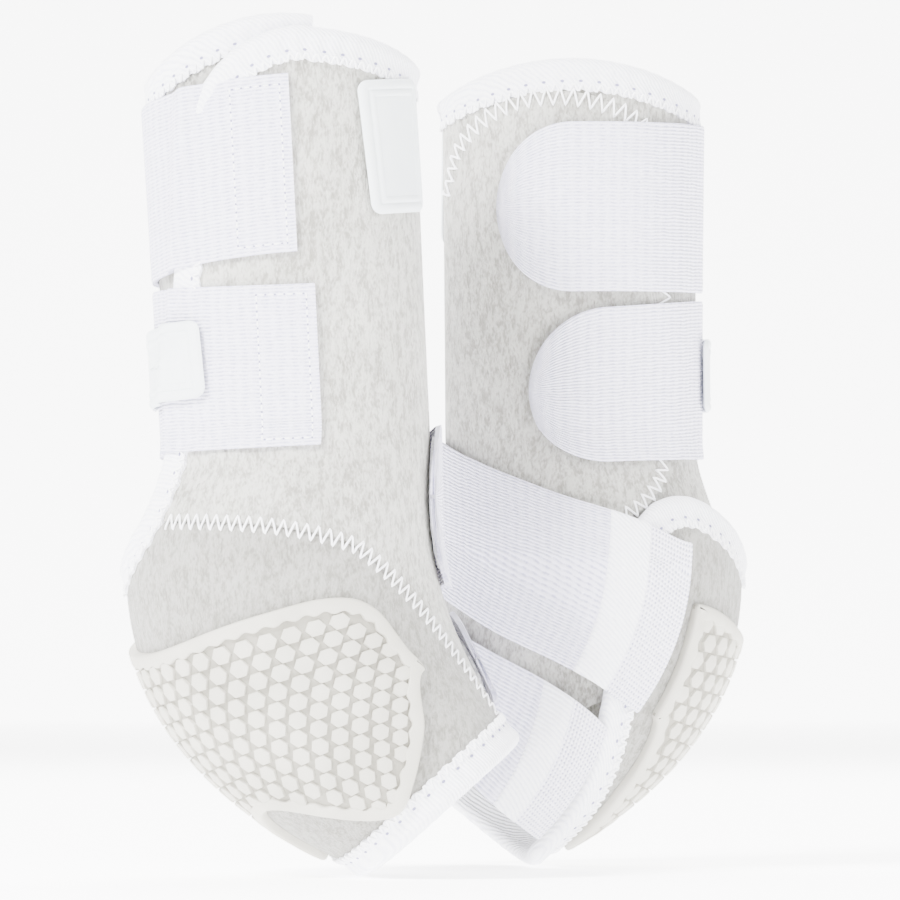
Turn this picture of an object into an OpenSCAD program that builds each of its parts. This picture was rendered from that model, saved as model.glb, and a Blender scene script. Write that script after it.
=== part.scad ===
// A pair of fetlock-support tendon boots for a horse's front legs.
// Each boot is a soft sleeve round the cannon bone, a flap that closes over it, a cup under the
// fetlock with a moulded strike pad, two closing straps and two sling straps.
// Every sewn piece lies on one leg surface, so it follows the leg sizes when they change.

/* [Leg] */
// Height of the closing edge at the front of the boot
top_front = 277; // [255:1:290]
// How much higher the top edge stands on the two sides than at the front
top_dome = 13; // [4:1:18]
// Front-to-rear size of the cannon section
cannon_depth = 91; // [78:1:104]
// Side-to-side size of the cannon section
cannon_width = 77; // [66:1:88]
// How far the fetlock stands out behind the cannon
fetlock_bulge = 11; // [6:1:14]
// Side-to-side size at the fetlock
fetlock_width = 94; // [82:1:104]
// Side-to-side size of the pastern opening
pastern_width = 70; // [60:1:78]

/* [Fabric] */
// Thickness of the foam core
core_t = 4; // [3:0.5:5]
// Thickness of the lining
lining_t = 1; // [0.6:0.2:1.6]
// Thickness of the flap and cup laminate
panel_t = 4.5; // [3.5:0.5:5.5]
// Thickness of the loop facing
facing_t = 1.1; // [0.8:0.1:1.6]
// Thickness of the strap webbing
strap_t = 1.8; // [1.2:0.2:2.4]
// Thickness of a hook patch
hook_t = 1; // [0.8:0.1:1.4]
// Radius of the bound edge
binding_r = 3.2; // [2.4:0.2:3.8]
// Gap between sewn pieces
seam_gap = 0.4; // [0.3:0.05:0.6]

/* [Straps] */
// Height of the middle of the upper closing strap at the rear
upper_strap_z = 232; // [226:1:236]
// Width of the upper closing strap
upper_strap_w = 60; // [50:1:62]
// Height of the middle of the lower closing strap at the rear
lower_strap_z = 168; // [164:1:170]
// Width of the lower closing strap
lower_strap_w = 56; // [46:1:60]
// Thickness of the strike pad
pad_t = 2.6; // [2:0.2:3.4]
// Thickness of the rubber badges
badge_t = 1.8; // [1.2:0.2:2.4]

/* [Pair] */
// Distance between the two legs, left to right
pair_x = 93; // [90:1:120]
// Distance between the two legs, front to back
pair_y = 106; // [104:1:140]
// How far the left boot leans
left_lean = 3; // [0:0.5:4]

/* [Hidden] */
SIDES = ["left", "right"];
PIECES = ["sleeve_core", "sleeve_lining", "sleeve_binding", "loop_facing", "flap_panel", "fetlock_cup",
    "strike_pad", "flap_binding", "cup_binding", "seam_tape", "badge", "upper_strap", "upper_strap_tab",
    "upper_hook_patch", "lower_strap", "lower_strap_tab", "lower_hook_patch", "strap_label",
    "upper_sling", "upper_sling_elastic", "upper_sling_tab", "upper_sling_hook", "lower_sling",
    "lower_sling_elastic", "lower_sling_tab", "lower_sling_hook"];

GRAY = "#d5d4ce";
WHITE = "#f2f2f6";
RUBBER = "#dcdad2";

// Heights where the three stretches of the leg surface meet, and the pastern opening.
fetlock_z = 105;
ankle_z = 150;
cannon_top_z = 300;
opening_front = [67, 42];
opening_rear = [15, 3.4];
front_x = cannon_depth / 2;
rear_x = -cannon_depth / 2 + 1;
bulge_x = rear_x - fetlock_bulge;

// Control points of the front line and the rear line, and the half-widths, one list per stretch:
// the cup (0 to 1), the fetlock (1 to 2) and the cannon (2 to 3).
FRONT = [
    [opening_front, [57, 60], [front_x - 1, 84], [front_x - 1.5, fetlock_z + 5]],
    [[front_x - 1.5, fetlock_z + 5], [front_x - 1.5, 124], [front_x - 0.5, 137], [front_x - 0.3, ankle_z]],
    [[front_x - 0.3, ankle_z], [front_x, 200], [front_x + 0.5, 250], [front_x + 1, cannon_top_z]]];
REAR = [
    [opening_rear, [-26, 24], [bulge_x - 1, 56], [bulge_x, fetlock_z - 5]],
    [[bulge_x, fetlock_z - 5], [bulge_x + 1, 122], [rear_x + 0.5, 132], [rear_x, ankle_z]],
    [[rear_x, ankle_z], [rear_x, 200], [rear_x - 0.5, 250], [rear_x - 1.5, cannon_top_z]]];
HALF_WIDTH = [
    [pastern_width, pastern_width + 14, fetlock_width - 2, fetlock_width] / 2,
    [fetlock_width, fetlock_width + 1, cannon_width + 3, cannon_width] / 2,
    [cannon_width, cannon_width - 1.5, cannon_width - 1, cannon_width + 1] / 2];

function bezier(p, s) =
    p[0] * pow(1 - s, 3) + p[1] * 3 * s * pow(1 - s, 2) + p[2] * 3 * s * s * (1 - s) + p[3] * pow(s, 3);
function stretch(t) = min(2, max(0, floor(t)));
function on_line(lines, t) = bezier(lines[stretch(t)], t - stretch(t));

// A point of the bare leg surface. t runs from the pastern opening (0) to the top (3), and the angle
// phi runs from the front (0) over side A (90) and the rear (180) to side B (270).
function skin(t, phi) =
    let (f = on_line(FRONT, t), r = on_line(REAR, t), c = (f + r) / 2, a = (f - r) / 2)
    [c[0] + a[0] * cos(phi), -on_line(HALF_WIDTH, t) * sin(phi), c[1] + a[1] * cos(phi)];
function unit(v) = v / norm(v);
function normal(t, phi) =
    unit(cross(skin(t, phi + 0.5) - skin(t, phi - 0.5), skin(t - 0.01, phi) - skin(t + 0.01, phi)));
function surf(t, phi, off) = skin(t, phi) + normal(t, phi) * off;

// The stretch value at a height on the cannon or fetlock.
function at_z(z) = z >= ankle_z ? 2 + (z - ankle_z) / (cannon_top_z - ankle_z)
    : 1 + (z - fetlock_z) / (ankle_z - fetlock_z);

// A smooth curve through a short list of [x, y] points.
function span_of(x, p, i = 0) = i >= len(p) - 2 || x < p[i + 1][0] ? i : span_of(x, p, i + 1);
function slope(p, i) = i == 0 || i == len(p) - 1 ? 0
    : (p[i + 1][1] - p[i - 1][1]) / (p[i + 1][0] - p[i - 1][0]);
function smooth(x, p) =
    let (i = span_of(x, p), w = p[i + 1][0] - p[i][0], s = min(1, max(0, (x - p[i][0]) / w)))
    p[i][1] * (1 + 2 * s) * pow(1 - s, 2) + slope(p, i) * w * s * pow(1 - s, 2)
    + p[i + 1][1] * s * s * (3 - 2 * s) - slope(p, i + 1) * w * s * s * (1 - s);

// Outlines. Each gives a stretch value against the angle.
edge_clear = binding_r + 0.7;
edge_z = top_front - 8;
flap_end = 143;
flap_corner_z = 235;
cup_start = 12;
cup_end = 250;
function side_rise(phi) = pow(sin(phi), 2);
function sleeve_top(phi) = at_z(edge_z + side_rise(phi) * (phi < 180 ? top_dome + 4 : top_dome - 2));
function flap_edge_z(phi) = phi < 80 ? edge_z + side_rise(phi) * (top_dome - 1)
    : phi < 125 ? flap_corner_z + (edge_z + top_dome - 1 - flap_corner_z) * sqrt(1 - pow((phi - 80) / 46, 2))
    : flap_corner_z + 12 - (phi - 125) * 5.9;
function flap_top(phi) = at_z(flap_edge_z(phi));
function seam(phi) = 1.34 * (1 - exp(-(phi - cup_start + 1) / 38));
CUP_TOP = [[143, 1.3], [160, 1.12], [180, 1.0], [205, 1.2], [225, 1.33], [240, 1.28], [250, 1.1]];
CUP_FOOT = [[12, 0], [190, 0], [215, 0.16], [238, 0.42], [250, 0.62]];
function cup_top(phi) = phi < flap_end ? seam(phi) - 0.01 : smooth(phi, CUP_TOP);
SLEEVE_FOOT = [[75, 0.55], [240, 0.55], [285, 0.12], [320, 0.02], [360, 0.02]];
PAD_TOP = [[54, 0.5], [60, 0.72], [72, 0.82], [100, 0.83], [150, 0.8], [190, 0.84], [228, 0.9]];
PAD_FOOT = [[54, 0.46], [70, 0.25], [92, 0.1], [111, 0.06], [145, 0.27], [168, 0.25],
    [188, 0.08], [210, 0.27],
    [228, 0.55]];

// Outer face of the layer that an angle belongs to: the flap and cup climb over the sleeve.
layer_off = panel_t + seam_gap;
function climb(phi) = smooth(phi, [[0, 0], [62, layer_off], [400, layer_off]]);
over_binding = 2 * binding_r + 2 * seam_gap + 0.3;

FACING_TOP = [[222, 244], [232, 257], [247, 265], [270, 270], [293, 269], [314, 262], [332, 251], [345, 236]];
FACING_FOOT = [[222, 142], [230, 132], [250, 119], [280, 112], [320, 112], [345, 118]];
badge_z = 242;
badge_h = 44;
label_h = 25;
thread_t = 0.5;
facing_gap = 2 * seam_gap;
pad_end = 228;

// Straps: where they hinge, how deep their round ends are, and how high they ride over what is below.
strap_hinge = 205;
hinge_gap = 0.6;
tab_round = 32;
sling_hinge = 330;
low_hinge = 300;
patch_gap = 0.4;
on_facing = facing_gap + facing_t + 1.5 * seam_gap;
on_hook = hook_t + 2.2 * patch_gap;
STRAP_OFF = [[80, layer_off + 0.5], [100, layer_off + 1], [112, over_binding], [152, over_binding],
    [166, 3.4], [178, 1], [206, 0.7]];
TAB_OFF = [[204, 0.7], [216, on_facing], [226, on_facing + 0.3], [246, on_facing + on_hook - 0.4],
    [303, on_facing + on_hook - 0.4]];
UPPER_SLING_OFF = [[230, over_binding], [258, over_binding], [276, 3.6], [290, on_facing], [345, on_facing],
    [356, on_hook + 0.5], [384, on_hook + 0.5]];
LOWER_SLING_OFF = [[222, over_binding], [260, over_binding], [276, 2.6], [290, 1], [306, 1],
    [318, on_hook + 0.4], [356, on_hook + 0.4]];
UPPER_SLING_HIGH = [[231, 1.13], [250, 1.24], [275, 1.42], [300, 1.62], [330, 1.85],
    [350, 1.95], [382, 1.93]];
UPPER_SLING_LOW = [[231, 0.54], [262, 0.6], [300, 0.66], [330, 0.74], [350, 0.78], [382, 0.72]];
LOWER_SLING_HIGH = [[222, 0.4], [245, 0.47], [263, 0.52], [300, 0.58], [330, 0.64], [354, 0.66]];
LOWER_SLING_LOW = [[222, 0.06], [262, 0.07], [300, 0.1], [354, 0.15]];

// Where the two boots stand, on the rolled edge of the pastern opening.
foot_roll = 4.1;
foot_x = 14;
left_shift = 5.2;
left_foot = [left_shift - pair_x / 2, -pair_y / 2, foot_roll - foot_x * sin(left_lean)];
right_foot = [pair_x / 2, pair_y / 2, foot_roll];

// A closed sheet over a grid. at(i, j, k) gives the point of column i and row j on face k, where 0 is
// the inner face and 1 the outer one.
module sheet(at, columns, rows) {
    w = rows + 1;
    face = (columns + 1) * w;
    points = [for (k = [0, 1]) for (i = [0:columns]) for (j = [0:rows]) at(i / columns, j / rows, k)];
    outer = [for (i = [0:columns - 1]) for (j = [0:rows - 1])
        let (a = i * w + j)
            each [[a + face, a + w + face, a + w + 1 + face], [a + face, a + w + 1 + face, a + 1 + face]]];
    inner = [for (i = [0:columns - 1]) for (j = [0:rows - 1])
        let (a = i * w + j) each [[a, a + w + 1, a + w], [a, a + 1, a + w + 1]]];
    foot = [for (i = [0:columns - 1]) let (a = i * w, b = a + w)
        each [[a, b, b + face], [a, b + face, a + face]]];
    head = [for (i = [0:columns - 1]) let (a = i * w + rows, b = a + w)
        each [[a, b + face, b], [a, a + face, b + face]]];
    start = [for (j = [0:rows - 1]) each [[j, j + 1 + face, j + 1], [j, j + face, j + 1 + face]]];
    last = columns * w;
    end = [for (j = [0:rows - 1]) let (a = last + j)
        each [[a, a + 1, a + 1 + face], [a, a + 1 + face, a + face]]];
    polyhedron(points, concat(outer, inner, foot, head, start, end), convexity = 8);
}

// A tube of the binding's radius through points, closed at its ends.
module tube(path, r, sides = 6) {
    n = len(path);
    tangent = [for (i = [0:n - 1]) unit(path[min(n - 1, i + 1)] - path[max(0, i - 1)])];
    up = [for (i = [0:n - 1]) let (hint = unit(path[i] - [0, 0, path[i][2]])) unit(cross(tangent[i], hint))];
    rings = [for (i = [0:n - 1]) for (s = [0:sides - 1])
        path[i] + r * (up[i] * cos(s * 360 / sides) + cross(tangent[i], up[i]) * sin(s * 360 / sides))];
    walls = [for (i = [0:n - 2]) for (s = [0:sides - 1]) let (a = i * sides, q = (s + 1) % sides)
        each [[a + s, a + sides + q, a + q], [a + s, a + sides + s, a + sides + q]]];
    caps = [[for (s = [0:sides - 1]) s], [for (s = [sides - 1:-1:0]) (n - 1) * sides + s]];
    polyhedron(rings, concat(walls, caps), convexity = 8);
}

function mix(a, b, s) = a + (b - a) * s;

// A sheet between two outlines over a range of angles, from one offset to another.
module panel(from, to, low, high, inner, outer, columns, rows) {
    at = function (i, j, k)
        let (phi = mix(from, to, i))
        surf(mix(low(phi), high(phi), j), phi, k == 0 ? inner(phi) : outer(phi));
    sheet(at, columns, rows);
}

sleeve_start = 75;

module sleeve_layer(inner, outer) {
    panel(sleeve_start, 359.6, function (phi) smooth(phi, SLEEVE_FOOT) + 0.02,
        function (phi) sleeve_top(phi) - 0.03, function (phi) inner, function (phi) outer, 34, 10);
}
module sleeve_core() color(GRAY) sleeve_layer(-core_t, 0);
module sleeve_lining() color(GRAY) sleeve_layer(-core_t - 0.1 - lining_t, -core_t - 0.1);
module flap_panel() color(GRAY) panel(0, flap_end,
    function (phi) phi < cup_start ? 0.02 : seam(phi) + 0.01, function (phi) flap_top(phi) - 0.03,
    function (phi) climb(phi) - panel_t, function (phi) climb(phi), 26, 11);
module fetlock_cup() color(GRAY) panel(cup_start, cup_end,
    function (phi) smooth(phi, CUP_FOOT) + 0.03, function (phi) cup_top(phi),
    function (phi) climb(phi) - panel_t, function (phi) climb(phi), 34, 8);
module loop_facing() color(GRAY) panel(222, 345,
    function (phi) at_z(smooth(phi, FACING_FOOT)), function (phi) at_z(smooth(phi, FACING_TOP)),
    function (phi) facing_gap, function (phi) facing_gap + facing_t, 20, 9);
module strike_pad() color(RUBBER) panel(54, pad_end,
    function (phi) smooth(phi, PAD_FOOT), function (phi) smooth(phi, PAD_TOP),
    function (phi) climb(phi) + 1.5 * seam_gap, function (phi) climb(phi) + 1.5 * seam_gap + pad_t, 28, 6);
module badge() color(WHITE) panel(18, 59,
    function (phi) at_z(badge_z - badge_h / 2), function (phi) at_z(badge_z + badge_h / 2),
    function (phi) climb(phi) + seam_gap, function (phi) climb(phi) + seam_gap + badge_t, 8, 2);

// The bound edges run just outside the edge of the layer that they finish.
module edge_tube(angles, edge, off, side) color(WHITE) tube([for (phi = angles)
    let (t = edge(phi),
        along = unit(surf(edge(phi + 0.5), phi + 0.5, 0) - surf(edge(phi - 0.5), phi - 0.5, 0)),
        out = cross(normal(t, phi), along) * side)
    surf(t, phi, off(phi)) + out * edge_clear], binding_r);
function roll_off(phi) = climb(phi) - layer_off + seam_gap + 0.1 + binding_r;
module sleeve_binding() edge_tube([for (i = [0:44]) mix(sleeve_start, 355, i / 44)],
    function (phi) sleeve_top(phi) - 0.03, function (phi) -core_t / 2, -1);
module flap_binding() edge_tube([for (i = [0:36]) mix(5, flap_end, 1 - pow(1 - i / 36, 1.6))],
    function (phi) flap_top(phi) - 0.03, function (phi) roll_off(phi), -1);
module cup_binding() {
    edge_tube([for (phi = [6:8:246]) phi], function (phi) smooth(phi, CUP_FOOT) + 0.03,
        function (phi) roll_off(phi), 1);
    edge_tube([for (phi = [150:6:246]) phi], function (phi) smooth(phi, CUP_TOP),
        function (phi) roll_off(phi), -1);
    tube([for (t = [0.72:0.08:0.96]) surf(t, cup_end, roll_off(cup_end))
        + unit(skin(t, cup_end + 0.5) - skin(t, cup_end - 0.5)) * edge_clear], binding_r);
}

// The zigzag seams: one joins the flap to the cup, and one holds the loop facing.
module seam_tape() color(WHITE) {
    panel(15, 136, function (phi) max(0.05, seam(phi) - 0.05), function (phi) seam(phi) + 0.06,
        function (phi) climb(phi) + seam_gap, function (phi) climb(phi) + seam_gap + thread_t, 20, 1);
    panel(252, 343, function (phi) at_z(smooth(phi, FACING_TOP) - 6),
        function (phi) at_z(smooth(phi, FACING_TOP) - 1),
        function (phi) facing_gap + facing_t + seam_gap / 2,
        function (phi) facing_gap + facing_t + seam_gap / 2 + thread_t, 14, 1);
}

// A closing strap: its middle height and width, and the angles where it is sewn, hinges and ends.
function rounded(phi, from, tip, w) = w / 2 * sqrt(max(0.004, 1 - pow(max(0, phi - from) / (tip - from), 2)));
function toward_tip(i) = 1 - pow(1 - i, 1.6);
module strap_run(from, to, middle, half, inner, t, columns, bunch = false) color(WHITE) sheet(
    function (i, j, k) let (phi = mix(from, to, bunch ? toward_tip(i) : i))
        surf(at_z(middle(phi) + half(phi) * (2 * j - 1)), phi, inner(phi) + k * t), columns, 3);
function strap_off(phi) = smooth(phi, STRAP_OFF);
function tab_off(phi) = smooth(phi, TAB_OFF);
module closing_strap(middle, w, end) {
    strap_run(end, strap_hinge - hinge_gap, middle, function (phi) w / 2,
        function (phi) strap_off(phi), strap_t, 20);
}
module closing_tab(middle, w, tip) {
    strap_run(strap_hinge + hinge_gap, tip, middle, function (phi) rounded(phi, tip - tab_round, tip, w),
        function (phi) tab_off(phi), strap_t, 14, true);
}
module hook_patch(middle, w, tip) {
    strap_run(tip - 40, tip - 5, middle, function (phi) rounded(phi, tip - 35, tip - 5, w - 8),
        function (phi) tab_off(phi) - hook_t - patch_gap, hook_t, 7, true);
}
function upper_middle(phi) = upper_strap_z + smooth(phi, [[80, 5], [180, -1], [300, -3]]);
function lower_middle(phi) = lower_strap_z + smooth(phi, [[80, 0], [180, 2], [300, -4]]);
module upper_strap() closing_strap(function (phi) upper_middle(phi), upper_strap_w, 86);
module upper_strap_tab() closing_tab(function (phi) upper_middle(phi), upper_strap_w, 302);
module upper_hook_patch() hook_patch(function (phi) upper_middle(phi), upper_strap_w, 302);
module lower_strap() closing_strap(function (phi) lower_middle(phi), lower_strap_w, 80);
module lower_strap_tab() closing_tab(function (phi) lower_middle(phi), lower_strap_w, 288);
module lower_hook_patch() hook_patch(function (phi) lower_middle(phi), lower_strap_w, 288);
module strap_label() strap_run(128, 192, function (phi) lower_strap_z + 4, function (phi) label_h / 2,
    function (phi) strap_off(phi) + strap_t + 1.5 * seam_gap, badge_t, 12);

// A sling strap runs from the cup's edge on side B up round the front. Its two edges are outlines,
// and its sewn end follows the slant of the cup's edge.
module sling_run(from_low, from_high, to_low, to_high, low, high, inner, t, columns, bunch = false)
    color(WHITE)
    sheet(function (i, j, k)
        let (s = bunch ? toward_tip(i) : i,
            phi = mix(mix(from_low, from_high, j), mix(to_low, to_high, j), s),
            round_in = bunch ? sqrt(max(0.01, 1 - pow(max(0, s - 0.55) / 0.45, 2))) : 1,
            middle = (low(phi) + high(phi)) / 2, half = (high(phi) - low(phi)) / 2)
        surf(middle + half * round_in * (2 * j - 1), phi, inner(phi) + k * t), columns, 4);
function over_front(phi) = phi > 360 ? climb(phi - 360) : 0;
function upper_sling_off(phi) = smooth(phi, UPPER_SLING_OFF) + over_front(phi);
function lower_sling_off(phi) = smooth(phi, LOWER_SLING_OFF);
module upper_sling_run(from_low, from_high, to_low, to_high, lift, t, columns, bunch = false)
    sling_run(from_low, from_high, to_low, to_high, function (phi) smooth(phi, UPPER_SLING_LOW),
        function (phi) smooth(phi, UPPER_SLING_HIGH), function (phi) upper_sling_off(phi) + lift,
        t, columns, bunch);
module lower_sling_run(from_low, from_high, to_low, to_high, lift, t, columns, bunch = false)
    sling_run(from_low, from_high, to_low, to_high, function (phi) smooth(phi, LOWER_SLING_LOW),
        function (phi) smooth(phi, LOWER_SLING_HIGH), function (phi) lower_sling_off(phi) + lift,
        t, columns, bunch);
module upper_sling_elastic() upper_sling_run(237, 231, 254, 248, 0, strap_t, 5);
module upper_sling()
    upper_sling_run(255, 249, sling_hinge - hinge_gap, sling_hinge - hinge_gap, 0, strap_t, 12);
module upper_sling_tab()
    upper_sling_run(sling_hinge + hinge_gap, sling_hinge + hinge_gap, 382, 382, 0, strap_t, 10, true);
module upper_sling_hook() sling_run(352, 352, 378, 378, function (phi) smooth(phi, UPPER_SLING_LOW) + 0.1,
    function (phi) smooth(phi, UPPER_SLING_HIGH) - 0.1,
    function (phi) upper_sling_off(phi) - hook_t - patch_gap,
    hook_t, 6, true);
module lower_sling_elastic() lower_sling_run(223, 244, 243, 262, 0, strap_t, 5);
module lower_sling() lower_sling_run(244, 263, low_hinge - hinge_gap, low_hinge - hinge_gap, 0, strap_t, 10);
module lower_sling_tab()
    lower_sling_run(low_hinge + hinge_gap, low_hinge + hinge_gap, 354, 354, 0, strap_t, 10, true);
module lower_sling_hook() sling_run(318, 318, 350, 350, function (phi) smooth(phi, LOWER_SLING_LOW) + 0.07,
    function (phi) smooth(phi, LOWER_SLING_HIGH) - 0.07,
    function (phi) lower_sling_off(phi) - hook_t - patch_gap,
    hook_t, 6, true);

// The left boot shows side A to the front and leans a little. The right boot is turned half round and
// stands behind it, so that the two fronts face each other.
module placed(side) {
    if (side == "left") translate(left_foot) rotate([0, -left_lean, 0]) children();
    else translate(right_foot) rotate([0, 0, 180]) children();
}

for (side = SIDES) placed(side) {
    sleeve_core();
    sleeve_lining();
    sleeve_binding();
    loop_facing();
    flap_panel();
    fetlock_cup();
    strike_pad();
    flap_binding();
    cup_binding();
    seam_tape();
    badge();
    upper_strap();
    upper_strap_tab();
    upper_hook_patch();
    lower_strap();
    lower_strap_tab();
    lower_hook_patch();
    strap_label();
    upper_sling();
    upper_sling_elastic();
    upper_sling_tab();
    upper_sling_hook();
    lower_sling();
    lower_sling_elastic();
    lower_sling_tab();
    lower_sling_hook();
}
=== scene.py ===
"""Looks of a pair of fetlock-support tendon boots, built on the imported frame."""

import logging
import math
from dataclasses import dataclass
from enum import Enum
from typing import Callable, Sequence

import bpy
import numpy as np
from mathutils import Matrix, Vector


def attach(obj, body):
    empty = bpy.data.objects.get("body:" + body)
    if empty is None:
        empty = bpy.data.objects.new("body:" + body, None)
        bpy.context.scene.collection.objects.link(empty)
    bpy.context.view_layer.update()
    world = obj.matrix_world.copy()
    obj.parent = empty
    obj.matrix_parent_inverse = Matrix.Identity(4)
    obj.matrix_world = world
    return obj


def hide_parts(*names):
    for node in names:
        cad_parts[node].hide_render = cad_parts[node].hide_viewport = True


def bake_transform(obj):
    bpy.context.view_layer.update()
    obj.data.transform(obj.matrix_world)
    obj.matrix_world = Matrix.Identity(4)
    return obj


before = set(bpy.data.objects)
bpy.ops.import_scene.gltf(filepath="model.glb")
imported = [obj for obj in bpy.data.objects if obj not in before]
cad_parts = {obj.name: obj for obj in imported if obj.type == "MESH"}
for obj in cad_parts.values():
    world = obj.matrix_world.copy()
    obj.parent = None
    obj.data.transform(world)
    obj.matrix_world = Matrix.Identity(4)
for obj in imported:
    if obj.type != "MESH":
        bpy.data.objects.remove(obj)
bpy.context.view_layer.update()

LOG = logging.getLogger("tendon_boots")
MM = 0.001
ROOT = "boots"

Outline = list[list[float]]
Array = np.ndarray


# ---------------------------------------------------------------- colour and nodes


def linear_colour(code: str) -> tuple[float, float, float, float]:
    """Turn an sRGB hex colour into the linear colour that a shader takes.

    Args:
        code: the colour as "#rrggbb".

    Returns:
        Linear red, green and blue, and an alpha of 1.
    """
    parts = [int(code[i:i + 2], 16) / 255 for i in (1, 3, 5)]
    linear = [p / 12.92 if p <= 0.04045 else ((p + 0.055) / 1.055) ** 2.4 for p in parts]
    return (linear[0], linear[1], linear[2], 1.0)


def add_node(tree: bpy.types.NodeTree, kind: str, settings: dict | None = None,
             inputs: dict | None = None) -> bpy.types.Node:
    """Add one node to a tree, set its properties and fill or link its inputs.

    Args:
        tree: the node tree.
        kind: the node's type name.
        settings: properties of the node.
        inputs: values or output sockets, by input name or number.

    Returns:
        The new node.
    """
    node = tree.nodes.new(kind)
    for name, value in (settings or {}).items():
        setattr(node, name, value)
    for name, value in (inputs or {}).items():
        if isinstance(value, bpy.types.NodeSocket):
            tree.links.new(value, node.inputs[name])
        else:
            node.inputs[name].default_value = value
    return node


class Pattern(Enum):
    """What a finish's relief follows."""

    BRUSHED = "brushed loops"
    KNIT = "fine knit"
    RIBS = "ribs along the strap"
    GRID = "woven grid"
    TWILL = "twill"
    GRAIN = "moulded grain"
    SMOOTH = "smooth moulding"
    HOOKS = "hooks"


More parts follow.
